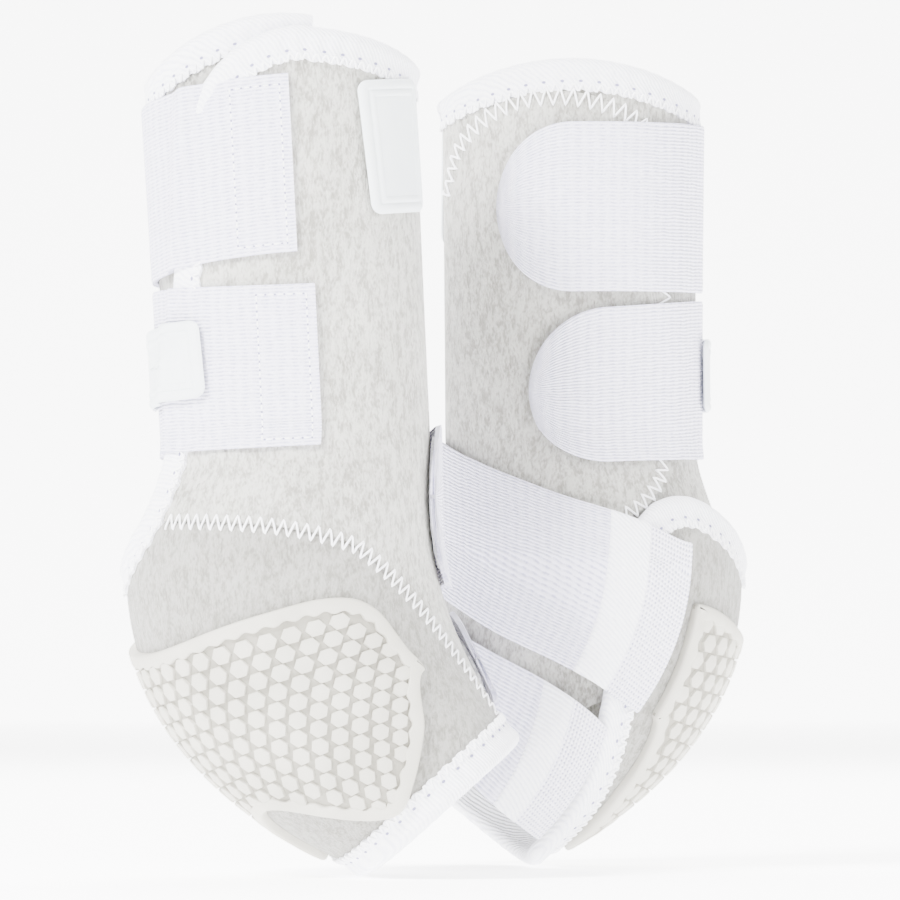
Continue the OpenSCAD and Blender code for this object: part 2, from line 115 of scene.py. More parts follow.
@dataclass(frozen=True)
class Finish:
    """One surface finish. Sizes are in millimetres."""

    name: str
    pattern: Pattern
    light: str
    dark: str
    slot: str
    grain: float
    depth: float
    roughness: float
    sheen: float = 0.0
    specular: float = 0.3

    def make(self) -> bpy.types.Material:
        """Build the node material.

        Returns:
            The material.
        """
        material = bpy.data.materials.new(self.name)
        material.use_nodes = True
        tree = material.node_tree
        tree.nodes.clear()
        height, tint = self.relief(tree)
        ramp = add_node(tree, "ShaderNodeMix", {"data_type": "RGBA"},
                        {0: tint, 6: linear_colour(self.dark), 7: linear_colour(self.light)})
        bump = add_node(tree, "ShaderNodeBump", None,
                        {"Strength": 0.9, "Distance": self.depth * MM, "Height": height})
        shader = add_node(tree, "ShaderNodeBsdfPrincipled", None, {
            "Base Color": ramp.outputs[2], "Normal": bump.outputs[0], "Roughness": self.roughness,
            "Sheen Weight": self.sheen, "Sheen Roughness": 0.6, "Specular IOR Level": self.specular})
        add_node(tree, "ShaderNodeOutputMaterial", None, {"Surface": shader.outputs[0]})
        return material

    def noise(self, tree: bpy.types.NodeTree, place: bpy.types.NodeSocket, size: float,
              detail: float = 2.0) -> bpy.types.NodeSocket:
        """Noise with lumps of about a size in millimetres.

        Args:
            tree: the node tree.
            place: the coordinates in metres.
            size: the lumps' size.
            detail: how many finer layers it has.

        Returns:
            The noise value's socket.
        """
        return add_node(tree, "ShaderNodeTexNoise", None,
                        {"Vector": place, "Scale": 1 / (size * MM), "Detail": detail}).outputs[0]

    def relief(self, tree: bpy.types.NodeTree) -> tuple[bpy.types.NodeSocket, bpy.types.NodeSocket]:
        """Make the height and the tint of this finish's pattern.

        Args:
            tree: the node tree.

        Returns:
            The height socket and the tint socket, 0 for the dark colour and 1 for the light one.
        """
        where = add_node(tree, "ShaderNodeTexCoord")
        place, cloth = where.outputs["Object"], where.outputs["UV"]
        if self.pattern is Pattern.BRUSHED:
            return self.brushed(tree, place)
        if self.pattern in (Pattern.RIBS, Pattern.GRID):
            return self.ribbed(tree, place, cloth)
        if self.pattern is Pattern.HOOKS:
            # Painted shade: the hook tape's pits take the dark colour from the same field that sinks them.
            hook_pits_and_shade = add_node(tree, "ShaderNodeTexVoronoi", None,
                            {"Vector": place, "Scale": 1 / (self.grain * MM)}).outputs[0]
            return hook_pits_and_shade, hook_pits_and_shade
        if self.pattern is Pattern.KNIT:
            return self.knitted(tree, place, cloth)
        if self.pattern is Pattern.TWILL:
            return self.knitted(tree, place, place)
        fine = self.noise(tree, place, self.grain, 4.0)
        broad = self.noise(tree, place, 18.0)
        tint = add_node(tree, "ShaderNodeMapRange", None,
                        {0: broad, 1: 0.35, 2: 0.65, 3: 0.55, 4: 1.0}).outputs[0]
        return fine, tint

    def brushed(self, tree: bpy.types.NodeTree,
                place: bpy.types.NodeSocket) -> tuple[bpy.types.NodeSocket, bpy.types.NodeSocket]:
        """Loops raised by brushing: short leaning tufts with painted shade in the gaps between them, and
        broad patches of tone.

        Args:
            tree: the node tree.
            place: the coordinates in metres.

        Returns:
            The height and tint sockets.
        """
        # The tufts lean down the leg, so the noise is drawn out along Z.
        lean = add_node(tree, "ShaderNodeMapping", None,
                        {"Vector": place, "Rotation": (0.25, 0.35, 0.0),
                         "Scale": (1.0, 1.0, 0.45)}).outputs[0]
        tufts = self.noise(tree, lean, self.grain, 3.0)
        clumps = self.noise(tree, lean, self.grain * 3.2, 2.0)
        patches = self.noise(tree, place, 30.0)
        height = add_node(tree, "ShaderNodeMath", {"operation": "ADD"}, {0: tufts, 1: clumps}).outputs[0]
        # Painted shade: the low places between the tufts are mixed towards the dark colour.
        tuft_gap_shade = add_node(tree, "ShaderNodeMapRange", None,
                          {0: height, 1: 0.78, 2: 1.12, 3: 0.0, 4: 0.85}).outputs[0]
        patch = add_node(tree, "ShaderNodeMapRange", None,
                         {0: patches, 1: 0.35, 2: 0.65, 3: -0.12, 4: 0.15}).outputs[0]
        tint = add_node(tree, "ShaderNodeMath", {"operation": "ADD", "use_clamp": True},
                        {0: tuft_gap_shade, 1: patch})
        return height, tint.outputs[0]

    def knitted(self, tree: bpy.types.NodeTree, place: bpy.types.NodeSocket,
                cloth: bpy.types.NodeSocket) -> tuple[bpy.types.NodeSocket, bpy.types.NodeSocket]:
        """A fine knit or twill: slanting rows, softened by noise, with painted shade in the grooves between
        them.

        Args:
            tree: the node tree.
            place: the coordinates in metres.
            cloth: the piece's own coordinates in metres.

        Returns:
            The height and tint sockets.
        """
        rows = add_node(tree, "ShaderNodeTexWave", {"bands_direction": "DIAGONAL"},
                        {"Vector": cloth, "Scale": self.wave_scale(self.grain), "Distortion": 1.5,
                         "Detail": 2.0, "Detail Scale": 1.5}).outputs[1]
        fuzz = self.noise(tree, place, self.grain * 1.6, 3.0)
        height = add_node(tree, "ShaderNodeMath", {"operation": "ADD"}, {0: rows, 1: fuzz}).outputs[0]
        # Painted shade: the grooves, low in the height, take the dark colour.
        tint = add_node(tree, "ShaderNodeMapRange", None,
                        {0: height, 1: 0.3, 2: 1.1, 3: 0.35, 4: 1.0}).outputs[0]
        return height, tint

    def ribbed(self, tree: bpy.types.NodeTree, place: bpy.types.NodeSocket,
               cloth: bpy.types.NodeSocket) -> tuple[bpy.types.NodeSocket, bpy.types.NodeSocket]:
        """Ribs along the webbing, broken by the cross threads. On the elastic, both ways alike. The grooves
        carry painted shade.

        Args:
            tree: the node tree.
            place: the coordinates in metres.
            cloth: the strap's own coordinates in metres, along and across it.

        Returns:
            The height and tint sockets.
        """
        grid = self.pattern is Pattern.GRID
        ribs = add_node(tree, "ShaderNodeTexWave", {"bands_direction": "Y"},
                        {"Vector": cloth, "Scale": self.wave_scale(self.grain),
                         "Distortion": 0.6 if grid else 2.2,
                         "Detail": 1.0, "Detail Scale": 0.6}).outputs[1]
        picks = add_node(tree, "ShaderNodeTexWave", {"bands_direction": "X"},
                         {"Vector": cloth, "Scale": self.wave_scale(self.grain * (0.8 if grid else 3.4)),
                          "Distortion": 1.0, "Detail": 1.0}).outputs[1]
        share = add_node(tree, "ShaderNodeMath", {"operation": "MULTIPLY"},
                         {0: picks, 1: 0.9 if grid else 0.3})
        both = add_node(tree, "ShaderNodeMath", {"operation": "ADD"},
                        {0: ribs, 1: share.outputs[0]}).outputs[0]
        fuzz = self.noise(tree, place, 0.9, 2.0)
        height = add_node(tree, "ShaderNodeMath", {"operation": "ADD"}, {0: both, 1: fuzz}).outputs[0]
        # Painted shade: the grooves, low in the height, take the dark cool colour.
        tint = add_node(tree, "ShaderNodeMapRange", None,
                        {0: height, 1: 0.45, 2: 1.1 if not grid else 1.25, 3: 0.0, 4: 1.0}).outputs[0]
        return height, tint

    @staticmethod
    def wave_scale(pitch: float) -> float:
        """The Wave texture's scale for a pitch in millimetres: at scale 1 its bands are pi / 10 apart."""
        return math.pi / 10 / (pitch * MM)


# Knitted nylon loop, brushed to a nap: matt and soft edged, with painted shade where the tufts part.
LOOP_FACE = Finish("brushed_nylon_loop", Pattern.BRUSHED, "#b5b4ae", "#83817a",
                   "brushed_loop_knit", 0.75, 0.8, 0.95, 0.25)
# The same knit with a shorter nap, laminated to the foam over the fetlock: smoother and warmer, with the same
# painted shade between its tufts.
CUP_FACE = Finish("short_nap_polyester_knit", Pattern.BRUSHED, "#94938e", "#706e68",
                  "ribbed_neoprene", 0.65, 0.6, 0.95, 0.2)
# Polyester warp-knit lining: thin, with fine slanting rows and painted shade in the grooves between them.
LINING = Finish("polyester_warp_knit", Pattern.KNIT, "#e9e7df", "#d2d0c6", "lining_knit", 1.4, 0.2, 0.9, 0.15)
# Polyester binding tape folded over the edge: bright, closely woven, with painted shade in the grooves of its
# twill.
TAPE = Finish("polyester_binding_tape", Pattern.TWILL, "#f8f8fc", "#cfcfe0",
              "binding_tape", 1.0, 0.25, 0.8, 0.2)
# Brushed polyester closing webbing: ribs along its length, with a faint cool painted shade in the grooves
# between them.
WEBBING = Finish("polyester_webbing", Pattern.RIBS, "#e9e7f6", "#aeacc9",
                 "ribbed_webbing", 1.25, 0.45, 0.85, 0.2)
# Woven elastic: rubber cores under a white cover, so it reads as a grid of small cells, with cool painted
# shade in the gaps between them.
ELASTIC = Finish("woven_elastic", Pattern.GRID, "#f4f2fd", "#9c9abc", "woven_elastic", 1.7, 0.5, 0.8, 0.1)
# Twisted polyester sewing thread: smooth filaments with a little gloss.
THREAD = Finish("polyester_thread", Pattern.SMOOTH, "#fbfbfd", "#eeeef3",
                "stitching", 0.5, 0.05, 0.5, 0.1, 0.45)
# Painted shade: flat dark discs that stand in for the shade in the hollow where a needle went through.
NEEDLE_HOLE_SHADE = Finish("needle_hole", Pattern.SMOOTH, "#8583a2", "#6b698a", "stitching", 0.5, 0.05, 0.9)
# Moulded thermoplastic rubber, spark-eroded in the floor of the mould: matt and grainy, and painted darker as
# the shade between the hexagons.
PAD_FLOOR = Finish("thermoplastic_rubber_grained_painted_shade", Pattern.GRAIN, "#97948a", "#7a776d",
                   "cream_rubber", 0.8, 0.25, 0.75, 0.0, 0.3)
# The same rubber on its polished lands: smoother, and lighter than the floor, whose darker colour is painted
# shade.
PAD_LAND = Finish("thermoplastic_rubber_smooth", Pattern.SMOOTH, "#b9b6ac", "#a5a298",
                  "cream_rubber", 1.2, 0.05, 0.55, 0.0, 0.4)
# Soft white PVC, moulded: even, with a dull gloss.
BADGE_PVC = Finish("soft_white_pvc", Pattern.SMOOTH, "#dfe5e7", "#d0d5d9",
                   "white_rubber", 2.0, 0.04, 0.45, 0.0, 0.45)
# Moulded nylon hook tape: rows of stiff hooks, with painted shade in the pits among them that looks like a
# fine dark stubble.
HOOK_TAPE = Finish("nylon_hook_tape", Pattern.HOOKS, "#ededf0", "#bdbdc8",
                   "hook_tape", 1.1, 0.6, 0.6, 0.0, 0.4)


class Wardrobe:
    """The materials, each made once when it is first asked for."""

    def __init__(self) -> None:
        """Start with no materials."""
        self.made: dict[str, bpy.types.Material] = {}

    def dress(self, piece: bpy.types.Object, finish: Finish) -> None:
        """Give a piece one finish: a CAD node takes it in its first slot, and any other piece as its only
        material.

        Args:
            piece: the object.
            finish: the finish.
        """
        if finish.name not in self.made:
            self.made[finish.name] = finish.make()
        if piece.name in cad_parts:
            piece.material_slots[0].material = self.made[finish.name]
            return
        piece.data.materials.clear()
        piece.data.materials.append(self.made[finish.name])


# ---------------------------------------------------------------- the leg surface


def smooth(x: Array | float, points: Outline) -> Array:
    """A smooth curve through a short list of [x, y] points.

    Args:
        x: where to read it.
        points: the points, in order of x.

    Returns:
        The curve's value at each x.
    """
    p = np.array(points, float)
    slope = np.zeros(len(p))
    slope[1:-1] = (p[2:, 1] - p[:-2, 1]) / (p[2:, 0] - p[:-2, 0])
    x = np.asarray(x, float)
    i = np.clip(np.searchsorted(p[:, 0], x, side="right") - 1, 0, len(p) - 2)
    w = p[i + 1, 0] - p[i, 0]
    s = np.clip((x - p[i, 0]) / w, 0, 1)
    return (p[i, 1] * (1 + 2 * s) * (1 - s) ** 2 + slope[i] * w * s * (1 - s) ** 2
            + p[i + 1, 1] * s * s * (3 - 2 * s) - slope[i + 1] * w * s * s * (1 - s))


def mix(a: Array | float, b: Array | float, s: Array | float) -> Array:
    """The value a share s of the way from a to b."""
    return a * (1 - s) + b * s


def unit(v: Array) -> Array:
    """The vectors scaled to length 1."""
    return v / np.maximum(np.linalg.norm(v, axis=-1, keepdims=True), 1e-12)


@dataclass(frozen=True)
class Leg:
    """The surface that every sewn piece lies on, in millimetres.

    t runs from the pastern opening (0) over the fetlock (1) and ankle (2) to the top (3). The angle phi
    runs from the front (0) over side A (90) and the rear (180) to side B (270).
    """

    cannon_depth: float = 91
    cannon_width: float = 77
    fetlock_bulge: float = 11
    fetlock_width: float = 94
    pastern_width: float = 70
    fetlock_z: float = 105
    ankle_z: float = 150
    top_z: float = 300

    def lines(self) -> tuple[Array, Array, Array]:
        """The control points of the front line, the rear line and the half-width."""
        front, rear = self.cannon_depth / 2, -self.cannon_depth / 2 + 1
        bulge, low, ankle, top = rear - self.fetlock_bulge, self.fetlock_z, self.ankle_z, self.top_z
        fronts = [[[67, 42], [57, 60], [front - 1, 84], [front - 1.5, low + 5]],
                  [[front - 1.5, low + 5], [front - 1.5, 124], [front - 0.5, 137], [front - 0.3, ankle]],
                  [[front - 0.3, ankle], [front, 200], [front + 0.5, 250], [front + 1, top]]]
        rears = [[[15, 3.4], [-26, 24], [bulge - 1, 56], [bulge, low - 5]],
                 [[bulge, low - 5], [bulge + 1, 122], [rear + 0.5, 132], [rear, ankle]],
                 [[rear, ankle], [rear, 200], [rear - 0.5, 250], [rear - 1.5, top]]]
        foot, fetlock, cannon = self.pastern_width, self.fetlock_width, self.cannon_width
        halves = [[foot, foot + 14, fetlock - 2, fetlock], [fetlock, fetlock + 1, cannon + 3, cannon],
                  [cannon, cannon - 1.5, cannon - 1, cannon + 1]]
        return np.array(fronts, float), np.array(rears, float), np.array(halves, float)[..., None] / 2

    @staticmethod
    def on_line(control: Array, t: Array) -> Array:
        """Points along three joined Bezier stretches.

        Args:
            control: the control points of each stretch.
            t: where, from 0 to 3.

        Returns:
            The points.
        """
        k = np.clip(np.floor(t), 0, 2).astype(int)
        s = (t - k)[..., None]
        p = control[k]
        return (p[..., 0, :] * (1 - s) ** 3 + p[..., 1, :] * 3 * s * (1 - s) ** 2
                + p[..., 2, :] * 3 * s * s * (1 - s) + p[..., 3, :] * s ** 3)

    def skin(self, t: Array, phi: Array) -> Array:
        """Points of the bare surface."""
        t, phi = np.broadcast_arrays(np.asarray(t, float), np.asarray(phi, float))
        fronts, rears, halves = self.lines()
        f, r, w = self.on_line(fronts, t), self.on_line(rears, t), self.on_line(halves, t)[..., 0]
        c, a, angle = (f + r) / 2, (f - r) / 2, np.radians(phi)
        return np.stack([c[..., 0] + a[..., 0] * np.cos(angle), -w * np.sin(angle),
                         c[..., 1] + a[..., 1] * np.cos(angle)], -1)

    def normal(self, t: Array, phi: Array) -> Array:
        """Outward directions of the surface."""
        t, phi = np.asarray(t, float), np.asarray(phi, float)
        around = self.skin(t, phi + 0.5) - self.skin(t, phi - 0.5)
        return unit(np.cross(around, self.skin(t - 0.01, phi) - self.skin(t + 0.01, phi)))

    def surf(self, t: Array, phi: Array, off: Array | float) -> Array:
        """Points a distance off the surface."""
        return self.skin(t, phi) + self.normal(t, phi) * np.asarray(off, float)[..., None]

    def at_z(self, z: Array) -> Array:
        """The t of a height on the fetlock or cannon."""
        z = np.asarray(z, float)
        return np.where(z >= self.ankle_z, 2 + (z - self.ankle_z) / (self.top_z - self.ankle_z),
                        1 + (z - self.fetlock_z) / (self.ankle_z - self.fetlock_z))


# ---------------------------------------------------------------- outlines, as on the cut pattern


@dataclass(frozen=True)
class Pattern2D:
    """The outlines of the cut pieces, each a t or a height against the angle, and the layers' places."""

    leg: Leg = Leg()
    top_front: float = 277
    top_dome: float = 13
    panel_t: float = 4.5
    core_t: float = 4.0
    seam_gap: float = 0.4
    roll_r: float = 3.2
    strap_t: float = 1.8
    flap_end: float = 143
    cup_start: float = 12
    cup_end: float = 250
    corner_z: float = 235

    @property
    def edge_z(self) -> float:
        """The height of the fabric's edge at the front."""
        return self.top_front - 8

    @property
    def layer_off(self) -> float:
        """How far the outer face of the flap stands off the sleeve."""
        return self.panel_t + self.seam_gap

    def climb(self, phi: Array) -> Array:
        """The outer face of the flap and cup, which climb over the sleeve."""
        return smooth(phi, [[0, 0], [62, self.layer_off], [400, self.layer_off]])

    def sleeve_top(self, phi: Array) -> Array:
        """The sleeve's top edge."""
        rise = np.sin(np.radians(phi)) ** 2
        return self.leg.at_z(self.edge_z + rise * np.where(phi < 180, self.top_dome + 4, self.top_dome - 2))

    def sleeve_foot(self, phi: Array) -> Array:
        """The sleeve's lower edge, inside the cup and out to the pastern at the front."""
        return smooth(phi, [[75, 0.55], [240, 0.55], [285, 0.12], [320, 0.02], [360, 0.02]])

    def flap_top(self, phi: Array) -> Array:
        """The flap's free edge: over the top, round its corner and down the rear of side A."""
        rise = np.sin(np.radians(phi)) ** 2
        top = self.edge_z + rise * (self.top_dome - 1)
        bow = np.sqrt(np.clip(1 - ((phi - 80) / 46) ** 2, 0, 1))
        corner = self.corner_z + (self.edge_z + self.top_dome - 1 - self.corner_z) * bow
        rear = self.corner_z + 12 - (phi - 125) * 5.9
        return self.leg.at_z(np.where(phi < 80, top, np.where(phi < 125, corner, rear)))

    def flap_edge_phi(self, z: Array) -> Array:
        """The angle of the flap's free edge at a height, below its corner."""
        return np.clip(125 + (self.corner_z + 12 - z) / 5.9, 112, 147)

    def seam(self, phi: Array) -> Array:
        """The seam between the flap and the cup."""
        return 1.34 * (1 - np.exp(-(phi - self.cup_start + 1) / 38))

    def cup_top(self, phi: Array) -> Array:
        """The cup's bound edge round the rear."""
        return smooth(phi, [[143, 1.3], [160, 1.12], [180, 1.0], [205, 1.2],
                            [225, 1.33], [240, 1.28], [250, 1.1]])

    def cup_foot(self, phi: Array) -> Array:
        """The cup's lower edge."""
        return smooth(phi, [[12, 0], [190, 0], [215, 0.16], [238, 0.42], [250, 0.62]]) + 0.03

    def facing_top(self, phi: Array) -> Array:
        """The loop facing's upper edge."""
        return self.leg.at_z(smooth(phi, [[222, 244], [232, 257], [247, 265], [270, 270],
                                          [293, 269], [314, 262],
                                          [332, 251], [345, 236]]))

    def facing_foot(self, phi: Array) -> Array:
        """The loop facing's lower edge."""
        return self.leg.at_z(smooth(phi, [[222, 142], [230, 132], [250, 119],
                                          [280, 112], [320, 112], [345, 118]]))

    def pad_top(self, phi: Array) -> Array:
        """The strike pad's upper edge."""
        return smooth(phi, [[54, 0.5], [60, 0.72], [72, 0.82], [100, 0.83],
                            [150, 0.8], [190, 0.84], [228, 0.9]])

    def pad_foot(self, phi: Array) -> Array:
        """The strike pad's lower edge, with its notch under the heel."""
        return smooth(phi, [[54, 0.46], [70, 0.25], [92, 0.1], [111, 0.06],
                            [145, 0.27], [168, 0.25], [188, 0.08],
                            [210, 0.27], [228, 0.55]])


CUT = Pattern2D()
LEG = CUT.leg


# ---------------------------------------------------------------- building meshes


class Side(Enum):
    """Which boot of the pair."""

    LEFT = "left"
    RIGHT = "right"


@dataclass(frozen=True)
class Stance:
    """Where a boot stands, in millimetres and degrees."""

    side: Side
    pair_x: float = 93
    pair_y: float = 106
    lean: float = 3
    shift: float = 5.2
    foot_roll: float = 4.1
    foot_x: float = 14

    def matrix(self) -> Matrix:
        """The transform from the boot's own frame to the pair's, in millimetres."""
        if self.side is Side.LEFT:
            drop = self.foot_x * math.sin(math.radians(self.lean))
            place = Matrix.Translation((self.shift - self.pair_x / 2, -self.pair_y / 2,
                                       self.foot_roll - drop))
            return place @ Matrix.Rotation(math.radians(-self.lean), 4, "Y")
        place = Matrix.Translation((self.pair_x / 2, self.pair_y / 2, self.foot_roll))
        return place @ Matrix.Rotation(math.pi, 4, "Z")

    def place(self, points: Array) -> Array:
        """Move points from the boot's own frame, in millimetres, to the pair's frame, in metres."""
        m = np.array(self.matrix())
        return (points @ m[:3, :3].T + m[:3, 3]) * MM


@dataclass
class Workshop:
    """What makes the meshes of one boot and sets them on their bodies."""

    stance: Stance
    wardrobe: Wardrobe

    def name(self, piece: str) -> str:
        """The full name of a piece of this boot."""
        return f"{self.stance.side.value}_{piece}"

    def nodes(self, *pieces: str) -> list[str]:
        """The full names of CAD nodes of this boot."""
        return [self.name(p) for p in pieces]

    def finish(self, piece: bpy.types.Object, finish: Finish, body: str | None = ROOT,
               replaces: Sequence[str] = ()) -> bpy.types.Object:
        """Dress a piece, put it on its body and hide the CAD nodes that it stands for.

        Args:
            piece: the object.
            finish: its finish.
            body: the body it rides on, or None to leave it on no body.
            replaces: short names of the CAD nodes.

        Returns:
            The piece.
        """
        self.wardrobe.dress(piece, finish)
        if body:
            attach(piece, body)
        if replaces:
            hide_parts(*self.nodes(*replaces))
        LOG.info("%s: %d faces", piece.name, len(piece.data.polygons))
        return piece

    def cloth(self, piece: str, at: Callable[[Array, Array], Array], columns: int, rows: int,
              thickness: float) -> bpy.types.Object:
        """Cut a sheet as a flat grid, lay it on the leg and give it its thickness inwards.

        Args:
            piece: the piece's short name.
            at: the outer face's point in millimetres for shares u and v, with u running the way phi falls.
            columns: cells along u.
            rows: cells along v.
            thickness: the sheet's thickness in millimetres.

        Returns:
            The object.
        """
        bpy.ops.object.select_all(action="DESELECT")
        bpy.ops.mesh.primitive_grid_add(x_subdivisions=columns, y_subdivisions=rows, size=1)
        sheet = bpy.context.object
        sheet.name = self.name(piece)
        mesh = sheet.data
        co = np.empty(len(mesh.vertices) * 3)
        mesh.vertices.foreach_get("co", co)
        u, v = co.reshape(-1, 3)[:, 0] + 0.5, co.reshape(-1, 3)[:, 1] + 0.5
        mesh.vertices.foreach_set("co", self.stance.place(at(u, v)).ravel())
        self.measure(mesh, at, u, v)
        bpy.ops.object.modifier_add(type="SOLIDIFY")
        solid = sheet.modifiers[-1]
        solid.thickness, solid.offset, solid.use_quality_normals = thickness * MM, -1, True
        bpy.ops.object.modifier_apply(modifier=solid.name)
        bpy.ops.object.shade_smooth_by_angle(angle=math.radians(50))
        return sheet

    @staticmethod
    def measure(mesh: bpy.types.Mesh, at: Callable[[Array, Array], Array], u: Array, v: Array) -> None:
        """Give a sheet coordinates in metres, along and across the cloth.

        Args:
            mesh: the sheet's mesh.
            at: the face's point for shares u and v.
            u: each vertex's share along.
            v: each vertex's share across.
        """
        steps = np.linspace(0, 1, 80)
        half = np.full_like(steps, 0.5)
        along = np.concatenate([[0], np.cumsum(np.linalg.norm(np.diff(at(steps, half), axis=0), axis=1))])
        across = np.concatenate([[0], np.cumsum(np.linalg.norm(np.diff(at(half, steps), axis=0), axis=1))])
        flat = np.stack([np.interp(u, steps, along), np.interp(v, steps, across)], -1) * MM
        corner = np.empty(len(mesh.loops), int)
        mesh.loops.foreach_get("vertex_index", corner)
        mesh.uv_layers.active.data.foreach_set("uv", flat[corner].ravel())

    def solid(self, piece: str, points: Array, faces: list, crease: float = 50) -> bpy.types.Object:
        """Make a closed mesh from points in the boot's own frame.

        Args:
            piece: the piece's short name.
            points: the vertices in millimetres.
            faces: the faces as lists of vertex numbers.
            crease: edges sharper than this many degrees stay sharp.

        Returns:
            The object.
        """
        mesh = bpy.data.meshes.new(self.name(piece))
        mesh.from_pydata(self.stance.place(points).tolist(), [], faces)
        made = bpy.data.objects.new(self.name(piece), mesh)
        bpy.context.scene.collection.objects.link(made)
        bpy.ops.object.select_all(action="DESELECT")
        made.select_set(True)
        bpy.context.view_layer.objects.active = made
        bpy.ops.object.mode_set(mode="EDIT")
        bpy.ops.mesh.select_all(action="SELECT")
        bpy.ops.mesh.normals_make_consistent(inside=False)
        bpy.ops.object.mode_set(mode="OBJECT")
        bpy.ops.object.shade_smooth_by_angle(angle=math.radians(crease))
        return made


@dataclass(frozen=True)
class Path:
    """A line on the leg, with the surface's normal and the direction to its side at each point."""

    points: Array
    normals: Array
    sides: Array
    phi: Array

    @classmethod
    def along(cls, phis: Array, ts: Array, off: Callable[[Array], Array], spacing: float,
              rounds: int = 2) -> "Path":
        """Lay a smooth, evenly stepped path over rough points.

        Args:
            phis: the angles of the rough points.
            ts: their t values.
            off: the distance off the surface, from the angle.
            spacing: the step in millimetres.
            rounds: how many times corners are cut.

        Returns:
            The path.
        """
        rough = np.stack([phis, ts], -1).astype(float)
        for _ in range(rounds):
            near, far = rough[:-1] * 0.75 + rough[1:] * 0.25, rough[:-1] * 0.25 + rough[1:] * 0.75
            rough = np.vstack([rough[:1], np.stack([near, far], 1).reshape(-1, 2), rough[-1:]])
        spot = LEG.surf(rough[:, 1], rough[:, 0], off(rough[:, 0]))
        run = np.concatenate([[0], np.cumsum(np.linalg.norm(np.diff(spot, axis=0), axis=1))])
        steps = np.linspace(0, run[-1], max(2, int(run[-1] / spacing) + 1))
        phi, t = np.interp(steps, run, rough[:, 0]), np.interp(steps, run, rough[:, 1])
        spot, normal = LEG.surf(t, phi, off(phi)), LEG.normal(t, phi)
        ahead = unit(np.gradient(spot, axis=0))
        return cls(spot, normal, unit(np.cross(normal, ahead)), phi)

    def moved(self, side: Array | float, up: Array | float) -> Array:
        """The path's points moved to its side and off the surface."""
        return (self.points + self.sides * np.asarray(side, float)[..., None]
                + self.normals * np.asarray(up, float)[..., None])


def swept(path: Path, profile: Callable[[Array], tuple[Array, Array]],
          closed: bool = False) -> tuple[Array, list]:
    """Sweep a closed profile along a path.

    Args:
        path: the path.
        profile: the profile's places to the side and up, one row for each path point, from the point numbers.
        closed: whether the path's end meets its start.

    Returns:
        The points and the faces.
    """
    side, up = profile(np.arange(len(path.points)))
    count, around = side.shape
    points = (path.points[:, None] + path.sides[:, None] * side[..., None]
              + path.normals[:, None] * up[..., None]).reshape(-1, 3)
    rings = range(count if closed else count - 1)
    faces = [[i * around + j, i * around + (j + 1) % around,
              (i + 1) % count * around + (j + 1) % around, (i + 1) % count * around + j]
             for i in rings for j in range(around)]
    if not closed:
        faces += [list(range(around)), list(range((count - 1) * around, count * around))[::-1]]
    return points, faces


def joined(parts: Sequence[tuple[Array, list]]) -> tuple[Array, list]:
    """Put several meshes in one, each still closed by itself."""
    points, faces, start = [], [], 0
    for some, its in parts:
        points.append(some)
        faces += [[i + start for i in face] for face in its]
        start += len(some)
    return np.vstack(points), faces


def thread(line: Array, normals: Array, radius: float, sides: int = 5) -> tuple[Array, list]:
    """A round thread through points.

    Args:
        line: the points in millimetres.
        normals: the surface's outward direction at each point.
        radius: its radius.
        sides: how many sides it has.

    Returns:
        The points and the faces.
    """
    ahead = unit(np.gradient(line, axis=0))
    hint = unit(np.cross(ahead, normals))
    other = np.cross(ahead, hint)
    angle = np.arange(sides) * 2 * math.pi / sides
    ring = hint[:, None] * np.cos(angle)[None, :, None] + other[:, None] * np.sin(angle)[None, :, None]
    points = (line[:, None] + ring * radius).reshape(-1, 3)
    faces = [[i * sides + j, i * sides + (j + 1) % sides,
              (i + 1) * sides + (j + 1) % sides, (i + 1) * sides + j]
             for i in range(len(line) - 1) for j in range(sides)]
    faces += [list(range(sides))[::-1], list(range((len(line) - 1) * sides, len(line) * sides))]
    return points, faces


def bead(size: tuple[float, float, float]) -> tuple[Array, list]:
    """A small closed bead, made once and copied for stitches and for the dark discs of painted shade where a
    needle went through.

    Args:
        size: its half sizes ahead, to the side and up, in millimetres.

    Returns:
        The points and the faces.
    """
    bpy.ops.object.select_all(action="DESELECT")
    bpy.ops.mesh.primitive_uv_sphere_add(segments=6, ring_count=4, radius=1)
    ball = bpy.context.object
    points = np.array([v.co for v in ball.data.vertices])[:, [2, 0, 1]] * size
    faces = [list(p.vertices) for p in ball.data.polygons]
    bpy.data.objects.remove(ball)
    return points, faces


def set_along(form: tuple[Array, list], spots: Array, ahead: Array, up: Array) -> tuple[Array, list]:
    """Copy a small form to many places.

    Args:
        form: its points and faces.
        spots: where the copies go.
        ahead: each copy's direction ahead.
        up: each copy's direction up.

    Returns:
        The points and the faces of all the copies.
    """
    ahead = unit(ahead - up * np.sum(ahead * up, -1, keepdims=True))
    across = np.cross(up, ahead)
    points = (spots[:, None] + form[0][None, :, :1] * ahead[:, None] + form[0][None, :, 1:2] * across[:, None]
              + form[0][None, :, 2:] * up[:, None]).reshape(-1, 3)
    step = len(form[0])
    return points, [[i + k * step for i in face] for k in range(len(spots)) for face in form[1]]


